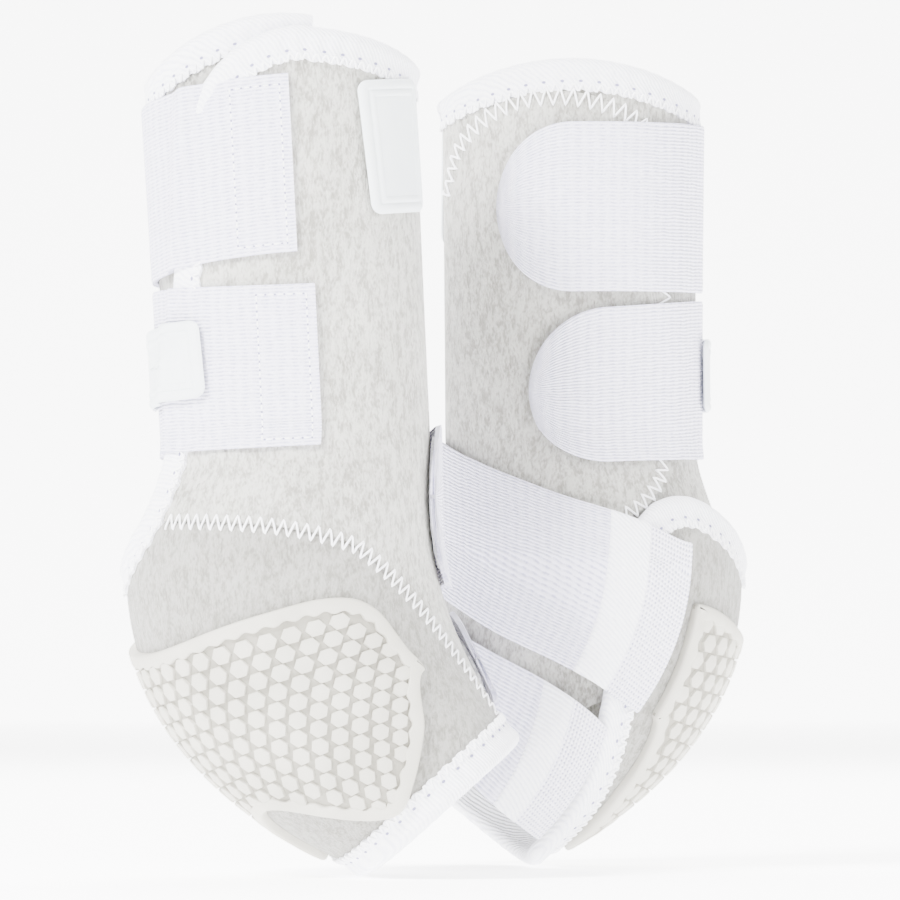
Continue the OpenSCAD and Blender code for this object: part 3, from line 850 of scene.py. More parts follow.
def run_of_stitches(path: Path, side: float, up: float, pitch: float,
                    step: float) -> tuple[tuple[Array, list], tuple[Array, list]]:
    """A straight run of lock stitches, with dark discs of painted shade where the needle went through.

    Args:
        path: the line that it follows, stepped finely.
        side: how far to its side, in millimetres.
        up: how far off it.
        pitch: the stitch length.
        step: the path's step.

    Returns:
        The stitches and the discs of painted shade, each as points and faces.
    """
    line = path.moved(side, up)
    ahead = unit(np.gradient(line, axis=0))
    every = max(2, int(round(pitch / step)))
    at, hole = np.arange(every // 2, len(line) - 1, every), np.arange(0, len(line), every)
    stitches = set_along(bead((pitch * 0.36, 0.34, 0.26)), line[at], ahead[at], path.normals[at])
    # Painted shade: a dark flat disc where the needle went through.
    hole_shades = set_along(bead((0.42, 0.36, 0.1)), line[hole], ahead[hole], path.normals[hole])
    return stitches, hole_shades


def zigzag(path: Path, half: float, pitch: float, step: float,
           up: float, radius: float) -> tuple[Array, list]:
    """A zigzag seam's thread, which dips at each turn.

    Args:
        path: its middle line.
        half: half its width.
        pitch: the length of one full zigzag.
        step: the path's step.
        up: how high it lies.
        radius: the thread's radius.

    Returns:
        The points and the faces.
    """
    s = np.arange(len(path.points)) * step
    wave = 2 / math.pi * np.arcsin(np.sin(2 * math.pi * s / pitch))
    dip = np.abs(wave) ** 6
    return thread(path.moved(wave * half, up - dip * 0.5), path.normals, radius)


# ---------------------------------------------------------------- the sub-assemblies


def rounded_in(distance: Array, radius: float) -> Array:
    """How far a soft edge falls back, for a distance in from the edge."""
    short = np.clip(1 - distance / radius, 0, 1)
    return radius * (1 - np.sqrt(1 - short ** 2 * 0.96))


@dataclass(frozen=True)
class Cut:
    """The flat size that a piece of cloth or webbing was cut to, in millimetres."""

    width: float
    length: float
    area: float

    def declare(self, made: bpy.types.Object, rests_on: list[str]) -> None:
        """Meant to declare a piece as a stretched sheet of this cut; it does nothing.

        Args:
            made: not used.
            rests_on: not used.
        """


@dataclass
class Shell:
    """The boot's body: sleeve, lining, loop facing, flap and cup. Sizes in millimetres."""

    shop: Workshop
    facing_gap: float = 0.5
    facing_t: float = 1.1
    lining_t: float = 1.0

    def build(self) -> None:
        """Build the body's fabric pieces."""
        for made in (self.sleeve(), self.flap(), self.cup()):
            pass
        self.lining()
        self.facing()

    def sleeve(self) -> bpy.types.Object:
        """The brushed foam sleeve round the leg."""
        def at(u: Array, v: Array) -> Array:
            phi = mix(359.6, 75, u)
            t = mix(CUT.sleeve_foot(phi) + 0.02, CUT.sleeve_top(phi) - 0.03, v)
            return LEG.surf(t, phi, -rounded_in(u * 300, 2.5) - rounded_in((1 - u) * 300, 2.5))
        made = self.shop.cloth("sleeve", at, 190, 110, CUT.core_t)
        return self.shop.finish(made, LOOP_FACE, replaces=["sleeve_core"])

    def lining(self) -> bpy.types.Object:
        """The knit lining inside the sleeve."""
        inside = CUT.core_t + 0.1
        low, high = 0.02, -0.03

        def at(u: Array, v: Array) -> Array:
            phi = mix(359.6, 75, u)
            t = mix(CUT.sleeve_foot(phi) + low, CUT.sleeve_top(phi) + high, v)
            return LEG.surf(t, phi, -inside)
        made = self.shop.cloth("lining", at, 120, 70, self.lining_t)
        Cut(215, 245, 43400).declare(made, [self.shop.name("sleeve")])
        return self.shop.finish(made, LINING, replaces=["sleeve_lining"])

    def flap(self) -> bpy.types.Object:
        """The flap that wraps the front and side A over the sleeve."""
        def at(u: Array, v: Array) -> Array:
            phi = mix(CUT.flap_end, 0, u)
            low = np.where(phi < CUT.cup_start, 0.02, CUT.seam(phi) + 0.0008)
            t = mix(low, CUT.flap_top(phi) - 0.03, v)
            seam_fall = np.where(phi < CUT.cup_start, 0, rounded_in(v * 150, 2.2) * 0.45)
            return LEG.surf(t, phi, CUT.climb(phi) - seam_fall - self.behind_lower_strap(phi, t))
        made = self.shop.cloth("flap", at, 130, 130, CUT.panel_t)
        return self.shop.finish(made, LOOP_FACE, replaces=["flap_panel"])

    @staticmethod
    def behind_lower_strap(phi: Array, t: Array) -> Array:
        """The soft creases that the strap's pull leaves in the flap just below it."""
        below = np.exp(-((t - 1.62) / 0.18) ** 2)
        return 0.9 * below * np.sin(np.radians(phi - 66) * 7) ** 2 * np.clip((phi - 66) / 20, 0, 1)

    def cup(self) -> bpy.types.Object:
        """The cup under the fetlock."""
        def at(u: Array, v: Array) -> Array:
            phi = mix(CUT.cup_end, CUT.cup_start, u)
            top = np.where(phi < CUT.flap_end, CUT.seam(phi) - 0.0008, CUT.cup_top(phi))
            t = mix(CUT.cup_foot(phi), top, v)
            seam_fall = np.where(phi < CUT.flap_end, rounded_in((1 - v) * 90, 2.2) * 0.45, 0)
            return LEG.surf(t, phi, CUT.climb(phi) - seam_fall)
        made = self.shop.cloth("cup", at, 170, 80, CUT.panel_t)
        return self.shop.finish(made, CUP_FACE, replaces=["fetlock_cup"])

    def facing(self) -> bpy.types.Object:
        """The loop panel on side B that the hook patches hold."""
        def at(u: Array, v: Array) -> Array:
            phi = mix(345, 222, u)
            t = mix(CUT.facing_foot(phi), CUT.facing_top(phi), v)
            edge = rounded_in(np.minimum(u, 1 - u) * 95, 1.4) + rounded_in(np.minimum(v, 1 - v) * 120, 1.4)
            return LEG.surf(t, phi, self.facing_gap + self.facing_t - 0.7 * np.minimum(edge, 1.4))
        made = self.shop.cloth("facing_cloth", at, 110, 110, 0.6)
        Cut(100, 157, 13750).declare(made, [self.shop.name("sleeve")])
        return self.shop.finish(made, LOOP_FACE, replaces=["loop_facing"])


@dataclass
class Edging:
    """The binding tape folded over the cut edges, with its stitches. Sizes in millimetres."""

    shop: Workshop
    reach: float = 5.4
    pitch: float = 6.6
    step: float = 0.55

    def build(self) -> None:
        """Bind the sleeve's top, and the whole free edge of the flap and cup."""
        phis = np.linspace(75, 355, 90)
        top = Path.along(phis, CUT.sleeve_top(phis) - 0.03, lambda phi: 0 * phi, self.step)
        self.bind("sleeve_edging", top, -1, -2.2, -5.4, ["sleeve_binding"])
        free = self.free_edge()
        self.bind("flap_and_cup_edging", free, -1, -1.1, -4.7, ["flap_binding", "cup_binding"])

    @staticmethod
    def free_edge() -> Path:
        """The flap's edge from the front over its corner, the cup's top edge, its end and its foot."""
        over = np.concatenate([np.linspace(5, 80, 22), np.linspace(82, 124, 26), np.linspace(126, 142, 8)])
        turn = np.array([[143.6, 1.62], [145, 1.42], [149, 1.27], [155, 1.18]])
        rear = np.linspace(162, 240, 22)
        end = np.array([[247, 1.17], [250.5, 1.02], [251, 0.86], [250, 0.72], [246, 0.6]])
        foot = np.linspace(238, 3, 60)
        phi = np.concatenate([over, turn[:, 0], rear, end[:, 0], foot])
        t = np.concatenate([CUT.flap_top(over) - 0.03, turn[:, 1], CUT.cup_top(rear),
                            end[:, 1], CUT.cup_foot(foot)])
        return Path.along(phi, t, lambda p: CUT.climb(p), 0.55)

    def bind(self, name: str, path: Path, out: int, roll_up: float,
             inner: float, replaces: list[str]) -> None:
        """Fold tape over one edge and sew it.

        Args:
            name: the piece's short name.
            path: the fabric's edge, at the layer's outer face.
            out: 1 where the path's side direction leads off the fabric, and -1 where it leads onto it.
            roll_up: the height of the padded roll's middle.
            inner: the height of the tape's inner face.
            replaces: the CAD nodes.
        """
        r = CUT.roll_r
        arc = np.radians(np.linspace(112, -112, 13))

        def profile(i: Array) -> tuple[Array, Array]:
            pull = 0.5 + 0.5 * np.cos(2 * math.pi * i * self.step / self.pitch)
            hem = self.reach - 0.9 * pull
            ones = np.ones_like(pull)
            swell = r + 0.15 - 0.12 * pull
            side = [-hem, -hem, -self.reach * 0.55 * ones, -1.3 * ones]
            up = [0.15 * ones, 0.62 * ones, 0.95 - 0.35 * pull, 1.05 - 0.55 * pull]
            side += [3.4 + swell * math.cos(a) for a in arc]
            up += [roll_up + swell * math.sin(a) for a in arc]
            side += [-1.3 * ones, -self.reach * ones, -self.reach * ones]
            up += [(inner - 0.3) * ones, (inner - 0.4) * ones, (inner + 0.2) * ones]
            return np.stack(side, -1) * out, np.stack(up, -1)
        made = self.shop.solid(name, *swept(path, profile), crease=60)
        self.shop.finish(made, TAPE, replaces=replaces)
        every = int(round(self.pitch / self.step))
        at = np.arange(0, len(path.points), every)
        line = path.moved(-1.6 * out, 0.62)
        ahead = unit(np.gradient(line, axis=0))
        # Painted shade: dark flat discs for the shaded dimples where the tape is stitched.
        dent_shades = set_along(bead((0.75, 0.55, 0.16)), line[at], ahead[at], path.normals[at])
        hole_shades = self.shop.solid(f"{name}_holes", *dent_shades)
        self.shop.finish(hole_shades, NEEDLE_HOLE_SHADE)
        sewn = zigzag(path_shift(path, -3.9 * out), 1.75, self.pitch / 2, self.step, 1.0, 0.42)
        self.shop.finish(self.shop.solid(f"{name}_thread", *sewn), THREAD)


def path_shift(path: Path, side: float) -> Path:
    """The same path, moved to its side."""
    return Path(path.moved(side, 0), path.normals, path.sides, path.phi)


@dataclass
class Seams:
    """The visible zigzag seams. Sizes in millimetres."""

    shop: Workshop
    step: float = 0.3
    facing_start: float = 222.0

    def build(self) -> None:
        """Sew the flap to the cup, and the loop facing round its edge."""
        phi = np.linspace(13, 139, 60)
        seam = Path.along(phi, CUT.seam(phi), lambda p: CUT.climb(p), self.step)
        joins = zigzag(seam, 2.9, 3.9, self.step, 0.35, 0.4)
        arc = np.linspace(224, 345, 70)
        top = Path.along(arc, CUT.facing_top(arc), lambda p: 0 * p + 1.6, self.step)
        holds = zigzag(path_shift(top, 2.0), 3.1, 4.8, self.step, 0.35, 0.4)
        foot = np.linspace(345, 224, 60)
        low = Path.along(foot, CUT.facing_foot(foot), lambda p: 0 * p + 1.6, self.step)
        under = zigzag(path_shift(low, 2.0), 2.6, 4.8, self.step, 0.35, 0.4)
        rise = np.linspace(0, 1, 30)
        start = np.array(self.facing_start)
        climb = mix(CUT.facing_foot(start), CUT.facing_top(start), rise)
        rear = Path.along(start + 0 * rise, climb, lambda p: 0 * p + 1.6, self.step)
        side = zigzag(path_shift(rear, 2.0), 2.6, 4.8, self.step, 0.35, 0.4)
        made = self.shop.solid("zigzag_seams", *joined([joins, holds, under, side]))
        self.shop.finish(made, THREAD, replaces=["seam_tape"])


def hexagon(flat: float, height: float) -> tuple[Array, list]:
    """One raised hexagon with bevelled rims, modelled once and copied.

    Args:
        flat: its size across flats at the base, in millimetres.
        height: how high it stands.

    Returns:
        The points in millimetres, up along Z, and the faces.
    """
    bpy.ops.object.select_all(action="DESELECT")
    bpy.ops.mesh.primitive_cylinder_add(vertices=6, radius=flat / math.sqrt(3), depth=height,
                                        location=(0, 0, height / 2), rotation=(0, 0, 0))
    block = bpy.context.object
    bpy.ops.object.transform_apply(location=True, rotation=True, scale=True)
    bpy.ops.object.mode_set(mode="EDIT")
    bpy.ops.mesh.select_all(action="DESELECT")
    bpy.ops.object.mode_set(mode="OBJECT")
    for edge in block.data.edges:
        edge.select = all(block.data.vertices[i].co.z > height * 0.5 for i in edge.vertices)
    for face in block.data.polygons:
        face.select = face.normal.z > 0.5
    bpy.ops.object.mode_set(mode="EDIT")
    bpy.ops.mesh.select_mode(type="EDGE")
    bpy.ops.mesh.bevel(offset=height * 0.4, segments=2, affect="EDGES")
    bpy.ops.object.mode_set(mode="OBJECT")
    points = np.array([v.co for v in block.data.vertices])
    faces = [list(p.vertices) for p in block.data.polygons]
    bpy.data.objects.remove(block)
    return points, faces


@dataclass
class StrikePad:
    """The moulded rubber pad on the cup. Sizes in millimetres."""

    shop: Workshop
    first: float = 54
    last: float = 228
    pitch_phi: float = 8.6
    pitch_t: float = 0.0535
    hex_flat: float = 6.1
    floor_t: float = 1.2
    rim_w: float = 4.4

    def build(self) -> None:
        """Build the pad's floor, its rim and its hexagons."""
        gap = 0.5

        def at(u: Array, v: Array) -> Array:
            phi = mix(self.last, self.first, u)
            t = mix(CUT.pad_foot(phi), CUT.pad_top(phi), v)
            return LEG.surf(t, phi, CUT.climb(phi) + gap + self.floor_t)
        floor = self.shop.cloth("pad_floor", at, 120, 50, self.floor_t)
        self.shop.finish(floor, PAD_FLOOR, replaces=["strike_pad"])
        rim = self.rim()
        points, faces = swept(rim, self.rim_profile, closed=True)
        self.shop.finish(self.shop.solid("pad_rim", points, faces, crease=70), PAD_LAND)
        self.shop.finish(self.shop.solid("pad_hexagons", *self.hexagons(rim), crease=35), PAD_LAND)

    def rim(self) -> Path:
        """The line round the pad, as one closed run."""
        phi = np.linspace(self.first, self.last, 90)
        foot, top = CUT.pad_foot(phi), CUT.pad_top(phi)
        around = np.concatenate([phi, phi[::-1]])
        ts = np.concatenate([foot, top[::-1]])
        path = Path.along(around, ts, lambda p: CUT.climb(p) + 0.5, 0.8, rounds=3)
        return Path(path.points[:-1], path.normals[:-1], path.sides[:-1], path.phi[:-1])

    def rim_profile(self, i: Array) -> tuple[Array, Array]:
        """The rim: a low flat band with soft shoulders, and a scalloped inner side."""
        scallop = 0.55 * np.sin(i * 0.8 * 2 * math.pi / 7.0)
        ones = np.ones(len(i))
        inner = -(self.rim_w + scallop)
        side = [0.5 * ones, 0.5 * ones, 0.1 * ones, -0.5 * ones, inner + 0.6, inner + 0.15, inner, inner]
        up = [-0.45 * ones, 1.6 * ones, 2.3 * ones, 2.6 * ones, 2.6 * ones,
              2.35 * ones, 1.9 * ones, -0.45 * ones]
        return np.stack(side, -1), np.stack(up, -1)

    def hexagons(self, rim: Path) -> tuple[Array, list]:
        """The hexagons, in rows along the pad, each laid on the surface where it stands.

        Args:
            rim: the rim's line, which they keep clear of.

        Returns:
            The points and the faces.
        """
        rows = np.arange(0.05, 0.9, self.pitch_t)
        spots = [(self.first + (k + 0.5 * (j % 2)) * self.pitch_phi, t) for j, t in enumerate(rows)
                 for k in range(int((self.last - self.first) / self.pitch_phi) + 1)]
        phi, t = np.array(spots).T
        inside = (t > CUT.pad_foot(phi) + 0.005) & (t < CUT.pad_top(phi) - 0.005)
        phi, t = phi[inside], t[inside]
        base = LEG.surf(t, phi, CUT.climb(phi) + 0.5 + self.floor_t - 0.2)
        near = np.min(np.linalg.norm(base[:, None] - rim.points[None], axis=-1), axis=1)
        keep = near > self.rim_w - 0.4
        phi, t, base = phi[keep], t[keep], base[keep]
        normal = LEG.normal(t, phi)
        ahead = unit(LEG.skin(t, phi + 0.5) - LEG.skin(t, phi - 0.5))
        across = np.cross(normal, ahead)
        wide = np.linalg.norm(LEG.skin(t, phi + 0.5) - LEG.skin(t, phi - 0.5), axis=1) * self.pitch_phi
        tall = np.linalg.norm(LEG.skin(t + 0.01, phi) - LEG.skin(t - 0.01, phi), axis=1) * 50 * self.pitch_t
        points, faces = hexagon(self.hex_flat, 1.35)
        turned = points[:, [1, 0, 2]]
        sx, sy = wide / 7.0, tall / 6.06
        out = (base[:, None] + turned[None, :, :1] * ahead[:, None] * sx[:, None, None]
               + turned[None, :, 1:2] * across[:, None] * sy[:, None, None]
               + turned[None, :, 2:] * normal[:, None])
        step = len(points)
        return out.reshape(-1, 3), [[i + k * step for i in face] for k in range(len(base)) for face in faces]


@dataclass
class Badges:
    """The blank moulded badge on the flap and the blank label on the lower strap. Sizes in millimetres."""

    shop: Workshop
    corner: float = 3.0

    def build(self) -> None:
        """Build both, each with a raised border and no mark."""
        self.plate("moulded_badge", 38.5, 242, 26, 44, 4.0, lambda phi, z: CUT.climb(phi) + 0.4, "badge")
        self.plate("moulded_label", 160, 172, 47, 25, 2.6,
                   lambda phi, z: ClosingStrap.lift(phi, z) + CUT.strap_t + 0.5, "strap_label")

    def plate(self, name: str, phi: float, z: float, width: float, height: float, turn: float,
              off: Callable[[Array, Array], Array], node: str) -> None:
        """Mould a plate flat with operators, then wrap it on the leg.

        Args:
            name: the piece's short name.
            phi: its middle's angle.
            z: its middle's height.
            width: its width.
            height: its height.
            turn: how far it is turned, in degrees.
            off: its back's distance off the surface, from angle and height.
            node: the CAD node.
        """
        a = math.radians(turn)
        radius = float(np.linalg.norm(LEG.skin(2.5, phi + 0.5) - LEG.skin(2.5, phi - 0.5))) * 180 / math.pi

        def at(u: Array, v: Array) -> Array:
            x, y, fall = self.rounded_oblong(1 - 2 * u, 2 * v - 1, width / 2, height / 2)
            angle = phi - np.degrees((x * math.cos(a) - y * math.sin(a)) / radius)
            high = z + x * math.sin(a) + y * math.cos(a)
            return LEG.surf(LEG.at_z(high), angle, off(angle, high) + self.relief(fall))
        made = self.shop.cloth(name, at, 90, 90, 0.9)
        self.shop.finish(made, BADGE_PVC, replaces=[node])
        ring = self.stitch_ring(phi, z, width, height, a, radius, off)
        self.shop.finish(self.shop.solid(f"{name}_stitches", *ring), THREAD)

    def rounded_oblong(self, a: Array, b: Array, half_w: float, half_h: float) -> tuple[Array, Array, Array]:
        """Map a square onto an oblong with rounded corners, ring by ring.

        Args:
            a: the place across, from -1 to 1.
            b: the place up, from -1 to 1.
            half_w: half the oblong's width.
            half_h: half its height.

        Returns:
            The places across and up, and each place's distance in from the edge.
        """
        ring = np.maximum(np.maximum(np.abs(a), np.abs(b)), 1e-6)
        fall = (1 - ring) * min(half_w, half_h)
        w, h, corner = half_w - fall, half_h - fall, np.maximum(self.corner - fall, 0.05)
        x, y = a / ring * w, b / ring * h
        cx, cy = np.clip(x, corner - w, w - corner), np.clip(y, corner - h, h - corner)
        rest = unit(np.stack([x - cx, y - cy], -1))
        return cx + rest[..., 0] * corner, cy + rest[..., 1] * corner, fall

    @staticmethod
    def relief(fall: Array) -> Array:
        """The plate's height, by the distance in from its edge: rim, stitched groove, border, field."""
        return smooth(fall, [[0, 0.9], [0.5, 1.5], [1.9, 1.6], [2.3, 1.25],
                             [3.1, 1.2], [3.5, 1.55], [4.4, 1.6],
                             [4.9, 1.3], [30, 1.3]])

    @staticmethod
    def stitch_ring(phi: float, z: float, width: float, height: float, turn: float, radius: float,
                    off: Callable[[Array, Array], Array]) -> tuple[Array, list]:
        """The stitches in the badge's groove.

        Args:
            phi: the badge's middle angle.
            z: its middle height.
            width: its width.
            height: its height.
            turn: its turn in radians.
            radius: the leg's radius there.
            off: the back's distance off the surface.

        Returns:
            The points and the faces.
        """
        w, h = width / 2 - 2.9, height / 2 - 2.9
        corners = np.array([[-w, -h], [w, -h], [w, h], [-w, h], [-w, -h]])
        run = np.concatenate([[0], np.cumsum(np.linalg.norm(np.diff(corners, axis=0), axis=1))])
        s = np.arange(0.8, run[-1], 1.9)
        x0, y0 = np.interp(s, run, corners[:, 0]), np.interp(s, run, corners[:, 1])
        x = x0 * math.cos(turn) - y0 * math.sin(turn)
        y = x0 * math.sin(turn) + y0 * math.cos(turn)
        angle, high = phi - np.degrees(x / radius), z + y
        t = LEG.at_z(high)
        spots = LEG.surf(t, angle, off(angle, high) + 1.35)
        return set_along(bead((0.62, 0.26, 0.2)), spots, np.gradient(spots, axis=0), LEG.normal(t, angle))


@dataclass
class ClosingStrap:
    """One closing strap, from its sewn end on side A round the rear to its hook tab on side B."""

    shop: Workshop
    name: str
    middle: Outline
    height: float
    width: float
    sewn: float
    tip: float
    cut: Cut
    hinge: float = 205
    tab_round: float = 32

    def centre(self, phi: Array) -> Array:
        """The height of the strap's middle line."""
        return self.height + smooth(phi, self.middle)

    @staticmethod
    def lift(phi: Array, z: Array) -> Array:
        """How high the strap's inner face rides: on the flap, over its bound edge, then on the facing."""
        past = phi - CUT.flap_edge_phi(z) - 4.5
        on_flap = 5.25 + 2.6 * np.exp(-(past / 4.6) ** 2)
        beyond = 0.8 + 7.05 * np.exp(-(np.maximum(past, 0) / 8) ** 2)
        near = np.where(past < 0, on_flap, beyond)
        tab = smooth(phi, [[204, 0.8], [216, 2.5], [226, 2.8], [246, 4.0], [303, 4.0]])
        return np.where(phi < 205, near, tab)

    def half(self, phi: Array) -> Array:
        """Half the strap's width, which rounds off at the tip."""
        past = np.clip((phi - (self.tip - self.tab_round)) / self.tab_round, 0, 1)
        return self.width / 2 * np.sqrt(np.maximum(0.0005, 1 - past ** 2))

    def face(self, phi: Array, v: Array, up: float) -> Array:
        """A point of the strap's outer face, or off it.

        Args:
            phi: the angle.
            v: the share across, from its lower edge.
            up: how far off the outer face.

        Returns:
            The point.
        """
        z = self.centre(phi) + self.half(phi) * (2 * v - 1)
        return LEG.surf(LEG.at_z(z), phi, self.lift(phi, z) + CUT.strap_t + up)

    def build(self) -> None:
        """Build the webbing, which follows the leg without bending at the hinge, and the box of stitches at
        its sewn end.
        """
        def at(u: Array, v: Array) -> Array:
            s = 1 - u
            phi = mix(self.sewn, self.tip, 1 - (1 - s) ** 1.35)
            edge = rounded_in(np.minimum(v, 1 - v) * self.width, 0.6)
            return self.face(phi, v, -0.6 * edge)
        made = self.shop.cloth(f"{self.name}_webbing", at, 190, 56, CUT.strap_t)
        self.cut.declare(made, [self.shop.name("sleeve")])
        self.shop.finish(made, WEBBING, body=None)
        self.bend(made)
        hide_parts(*self.shop.nodes(self.name, f"{self.name}_tab"))
        self.stitch_box()
        self.hooks()

    def bend(self, made: bpy.types.Object) -> None:
        """Bake the webbing's place into its mesh; it does not bend where its tab opens.

        Args:
            made: the strap.
        """
        across = np.array([0.5, 0.5])
        near = self.face(np.array([self.hinge - 5.0, self.hinge + 5.0]), across, 0)
        start, end = self.shop.stance.place(near)
        f"{self.shop.name(self.name)}_tab_body"
        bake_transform(made)

    def stitch_box(self) -> None:
        """The oblong of lock stitches that sews the strap's end to the flap."""
        v0, v1, a0, a1 = 0.05, 0.94, self.sewn + 3.5, self.sewn + 22.5
        corners = np.array([[a0, v0], [a0, v1], [a1, v1], [a1, v0], [a0, v0]])
        steps = []
        for a, b in zip(corners[:-1], corners[1:]):
            count = int(max(abs(b[0] - a[0]) * 0.78, abs(b[1] - a[1]) * self.width) / 0.4)
            steps.append(mix(a[None], b[None], np.linspace(0, 1, count, endpoint=False)[:, None]))
        line = np.vstack(steps)
        spots = self.face(line[:, 0], line[:, 1], 0.0)
        t = LEG.at_z(self.centre(line[:, 0]) + self.half(line[:, 0]) * (2 * line[:, 1] - 1))
        path = Path(spots, LEG.normal(t, line[:, 0]), LEG.normal(t, line[:, 0]), line[:, 0])
        stitches, hole_shades = run_of_stitches(path, 0.0, 0.05, 2.9, 0.4)
        self.shop.finish(self.shop.solid(f"{self.name}_stitches", *stitches), THREAD)
        # The dark discs where the needle went through are painted shade.
        self.shop.finish(self.shop.solid(f"{self.name}_needle_holes", *hole_shades), NEEDLE_HOLE_SHADE)

    def hooks(self) -> None:
        """Give the hook patch its finish: bumps and a stubble of painted shade."""
        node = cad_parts[self.shop.name(f"{self.name.split('_')[0]}_hook_patch")]
        self.shop.wardrobe.dress(node, HOOK_TAPE)


@dataclass
class Sling:
    """One sling: an elastic end sewn at the cup's edge, and webbing round the front to a hook tab."""

    shop: Workshop
    name: str
    low: Outline
    high: Outline
    lift: Outline
    elastic_from: tuple[float, float]
    elastic_to: tuple[float, float]
    hinge: float
    tip: float
    body: str
    webbing_cut: Cut
    elastic_cut: Cut
    join_cut: Cut

    def off(self, phi: Array) -> Array:
        """How high the sling's inner face rides."""
        return smooth(phi, self.lift) + np.where(phi > 360, CUT.climb(phi - 360), 0)

    def spot(self, phi: Array, v: Array, s: Array, up: Array | float, tab: bool = False) -> Array:
        """A point off the sling's outer face.

        Args:
            phi: the angle.
            v: the share across, from the lower edge.
            s: the share along the webbing, which rounds its tab.
            up: how far off the outer face.
            tab: whether the tab's rounding applies.

        Returns:
            The point.
        """
        low, high = smooth(phi, self.low), smooth(phi, self.high)
        past = np.clip((s - 0.86) / 0.14, 0, 1) if tab else 0 * phi
        half = (high - low) / 2 * np.sqrt(np.maximum(0.0008, 1 - past ** 2))
        return LEG.surf((low + high) / 2 + half * (2 * v - 1), phi, self.off(phi) + CUT.strap_t + up)

    def build(self) -> None:
        """Build the webbing, the elastic end and the join between them."""
        start = (self.elastic_to[0] + 0.4, self.elastic_to[1] + 0.4)

        def at(u: Array, v: Array) -> Array:
            s = 1 - u ** 1.3
            phi = mix(mix(start[0], start[1], v), self.tip, s)
            edge = rounded_in(np.minimum(v, 1 - v) * 45, 0.6)
            return self.spot(phi, v, s, -0.6 * edge, tab=True)
        made = self.shop.cloth(f"{self.name}_webbing", at, 170, 44, CUT.strap_t)
        self.webbing_cut.declare(made, [self.shop.name("sleeve"), self.shop.name("cup")])
        self.shop.finish(made, WEBBING, body=None)
        self.bend(made)
        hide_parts(*self.shop.nodes(self.name, f"{self.name}_tab"))
        self.elastic()
        self.join(start)
        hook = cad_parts[self.shop.name(f"{self.name}_hook")]
        self.shop.wardrobe.dress(hook, HOOK_TAPE)

    def bend(self, made: bpy.types.Object) -> None:
        """Bake the webbing's place into its mesh; it does not bend where its tab opens."""
        phi = np.array([self.hinge - 5.0, self.hinge + 5.0])
        near = self.spot(phi, np.array([0.5, 0.5]), 0 * phi, 0.0)
        start, end = self.shop.stance.place(near)
        self.shop.name(self.body)
        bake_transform(made)

    def elastic(self) -> None:
        """The woven elastic end, with its hem turned under."""
        def at(u: Array, v: Array) -> Array:
            s = 1 - u
            phi = mix(mix(self.elastic_from[0], self.elastic_from[1], v),
                      mix(self.elastic_to[0], self.elastic_to[1], v), s)
            edge = rounded_in(np.minimum(v, 1 - v) * 45, 0.8) + rounded_in(s * 17, 1.2)
            return self.spot(phi, v, 0 * phi, 0.25 - 0.7 * edge)
        made = self.shop.cloth(f"{self.name}_elastic_weave", at, 60, 70, CUT.strap_t)
        self.elastic_cut.declare(made, [self.shop.name("cup")])
        self.shop.finish(made, ELASTIC, replaces=[f"{self.name}_elastic"])

    def join(self, start: tuple[float, float]) -> None:
        """The smooth doubled band where the webbing is sewn to the elastic.

        Args:
            start: the webbing's end angle at its lower and upper edge.
        """
        def at(u: Array, v: Array) -> Array:
            s = 1 - u
            phi = mix(start[0], start[1], v) + mix(-0.6, 12.8, s)
            edge = rounded_in(np.minimum(v, 1 - v) * 45, 0.7) + rounded_in((1 - s) * 12, 0.8)
            return self.spot(phi, v, 0 * phi, 0.5 - 0.7 * np.minimum(edge, 1.2))
        made = self.shop.cloth(f"{self.name}_join", at, 30, 44, 0.8)
        self.join_cut.declare(made, [self.shop.name(f"{self.name}_webbing")])
        self.shop.finish(made, TAPE)


STRAP_RISE_UPPER = [[80, 5], [180, -1], [300, -3]]
STRAP_RISE_LOWER = [[80, 0], [180, 2], [300, -4]]


class Boot:
    """One boot of the pair."""

    def __init__(self, side: Side, wardrobe: Wardrobe) -> None:
        """Set the boot's stance and its sub-assemblies.

        Args:
            side: which boot.
            wardrobe: the materials.
        """
        shop = Workshop(Stance(side), wardrobe)
        over = 2 * CUT.roll_r + 1.1
        self.parts = [
            Shell(shop), Edging(shop), Seams(shop), StrikePad(shop), Badges(shop),
            ClosingStrap(shop, "upper_strap", STRAP_RISE_UPPER, 232, 60, 86, 302, Cut(60, 176, 10261)),
            ClosingStrap(shop, "lower_strap", STRAP_RISE_LOWER, 168, 56, 80, 288, Cut(56, 166, 9065)),
            Sling(shop, "upper_sling",
                  [[231, 0.54], [262, 0.6], [300, 0.66], [330, 0.74], [350, 0.78], [382, 0.72]],
                  [[231, 1.13], [250, 1.24], [275, 1.42], [300, 1.62], [330, 1.85], [350, 1.95], [382, 1.93]],
                  [[230, over], [258, over], [276, 3.6], [290, 2.5], [345, 2.5], [356, 2.4], [384, 2.4]],
                  (237, 231), (254, 248), 330, 382, "upper_sling_tab_body",
                  Cut(60, 125, 6225), Cut(62, 17.5, 1078), Cut(62, 15, 930)),
            Sling(shop, "lower_sling",
                  [[222, 0.06], [262, 0.07], [300, 0.1], [354, 0.15]],
                  [[222, 0.4], [245, 0.47], [263, 0.52], [300, 0.58], [330, 0.64], [354, 0.66]],
                  [[222, over], [260, over], [276, 2.6], [290, 1], [306, 1], [318, 2.3], [356, 2.3]],
                  (223, 244), (243, 262), 300, 354, "lower_sling_tab_body",
                  Cut(36, 95, 2998), Cut(46, 17, 734), Cut(44, 15, 640))]

    def build(self) -> None:
        """Build every sub-assembly."""
        for part in self.parts:
            part.build()


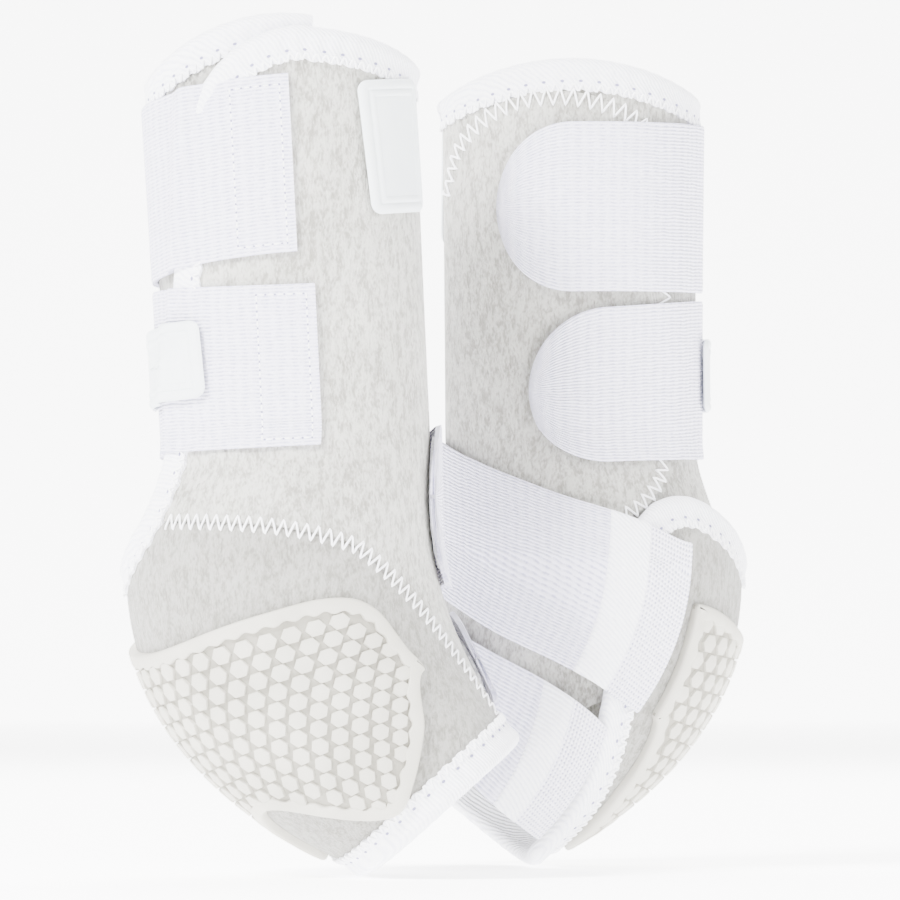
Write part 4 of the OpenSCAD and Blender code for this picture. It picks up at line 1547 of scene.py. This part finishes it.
@dataclass
class Studio:
    """A plain pale floor, soft light and the camera."""

    distance: float = 2.2
    eye_z: float = 0.07
    aim: tuple[float, float, float] = (0.003, 0.0, 0.147)
    field_mm: float = 315

    def build(self) -> None:
        """Make the floor, the lights, the sky and the camera."""
        self.floor()
        self.light("key", (-1.2, -1.3, 1.6), 0.7, 240)
        self.light("fill", (1.6, -1.3, 0.8), 1.3, 52)
        self.light("back", (0.2, 1.5, 1.8), 2.2, 170)
        world = bpy.data.worlds.new("soft_white")
        world.use_nodes = True
        world.node_tree.nodes["Background"].inputs[0].default_value = linear_colour("#ffffff")
        world.node_tree.nodes["Background"].inputs[1].default_value = 1.8
        bpy.context.scene.world = world
        self.camera()

    def floor(self) -> None:
        """A pale floor that curves up behind."""
        bpy.ops.object.select_all(action="DESELECT")
        bpy.ops.mesh.primitive_plane_add(size=8, location=(0, 2.4, -0.0004))
        floor = bpy.context.object
        floor.name = "floor"
        bpy.ops.object.transform_apply(location=True, rotation=True, scale=True)
        bpy.ops.object.mode_set(mode="EDIT")
        bpy.ops.mesh.select_all(action="DESELECT")
        bpy.ops.object.mode_set(mode="OBJECT")
        for edge in floor.data.edges:
            edge.select = all(floor.data.vertices[i].co.y > 6 for i in edge.vertices)
        bpy.ops.object.mode_set(mode="EDIT")
        bpy.ops.mesh.select_mode(type="EDGE")
        bpy.ops.mesh.extrude_region_move(TRANSFORM_OT_translate={"value": (0, 0, 5)})
        bpy.ops.object.mode_set(mode="OBJECT")
        material = bpy.data.materials.new("pale_paper")
        material.use_nodes = True
        shader = material.node_tree.nodes["Principled BSDF"]
        shader.inputs["Base Color"].default_value = linear_colour("#fbfbfb")
        shader.inputs["Roughness"].default_value = 0.9
        shader.inputs["Emission Color"].default_value = linear_colour("#ffffff")
        shader.inputs["Emission Strength"].default_value = 4.0
        floor.data.materials.append(material)

    @staticmethod
    def light(name: str, place: tuple[float, float, float], size: float, power: float) -> None:
        """Add one soft area light that looks at the pair.

        Args:
            name: its name.
            place: where it is, in metres.
            size: its side, in metres.
            power: its power in watts.
        """
        lamp = bpy.data.lights.new(name, "AREA")
        lamp.size, lamp.energy = size, power
        made = bpy.data.objects.new(name, lamp)
        made.location = place
        made.rotation_euler = (Vector((0, 0, 0.15)) - Vector(place)).to_track_quat("-Z", "Y").to_euler()
        bpy.context.scene.collection.objects.link(made)

    def camera(self) -> None:
        """Set the camera in front of the pair."""
        lens = bpy.data.cameras.new("camera")
        lens.sensor_width = 36
        lens.lens = 36 * self.distance / (self.field_mm * MM)
        made = bpy.data.objects.new("camera", lens)
        made.location = (self.aim[0], -self.distance, self.eye_z)
        made.rotation_euler = (Vector(self.aim) - made.location).to_track_quat("-Z", "Y").to_euler()
        bpy.context.scene.collection.objects.link(made)
        bpy.context.scene.camera = made


def main() -> None:
    logging.basicConfig(level=logging.INFO, format="%(name)s: %(message)s")
    Studio().build()
    wardrobe = Wardrobe()
    for side in Side:
        Boot(side, wardrobe).build()


if __name__ == "__main__":
    main()
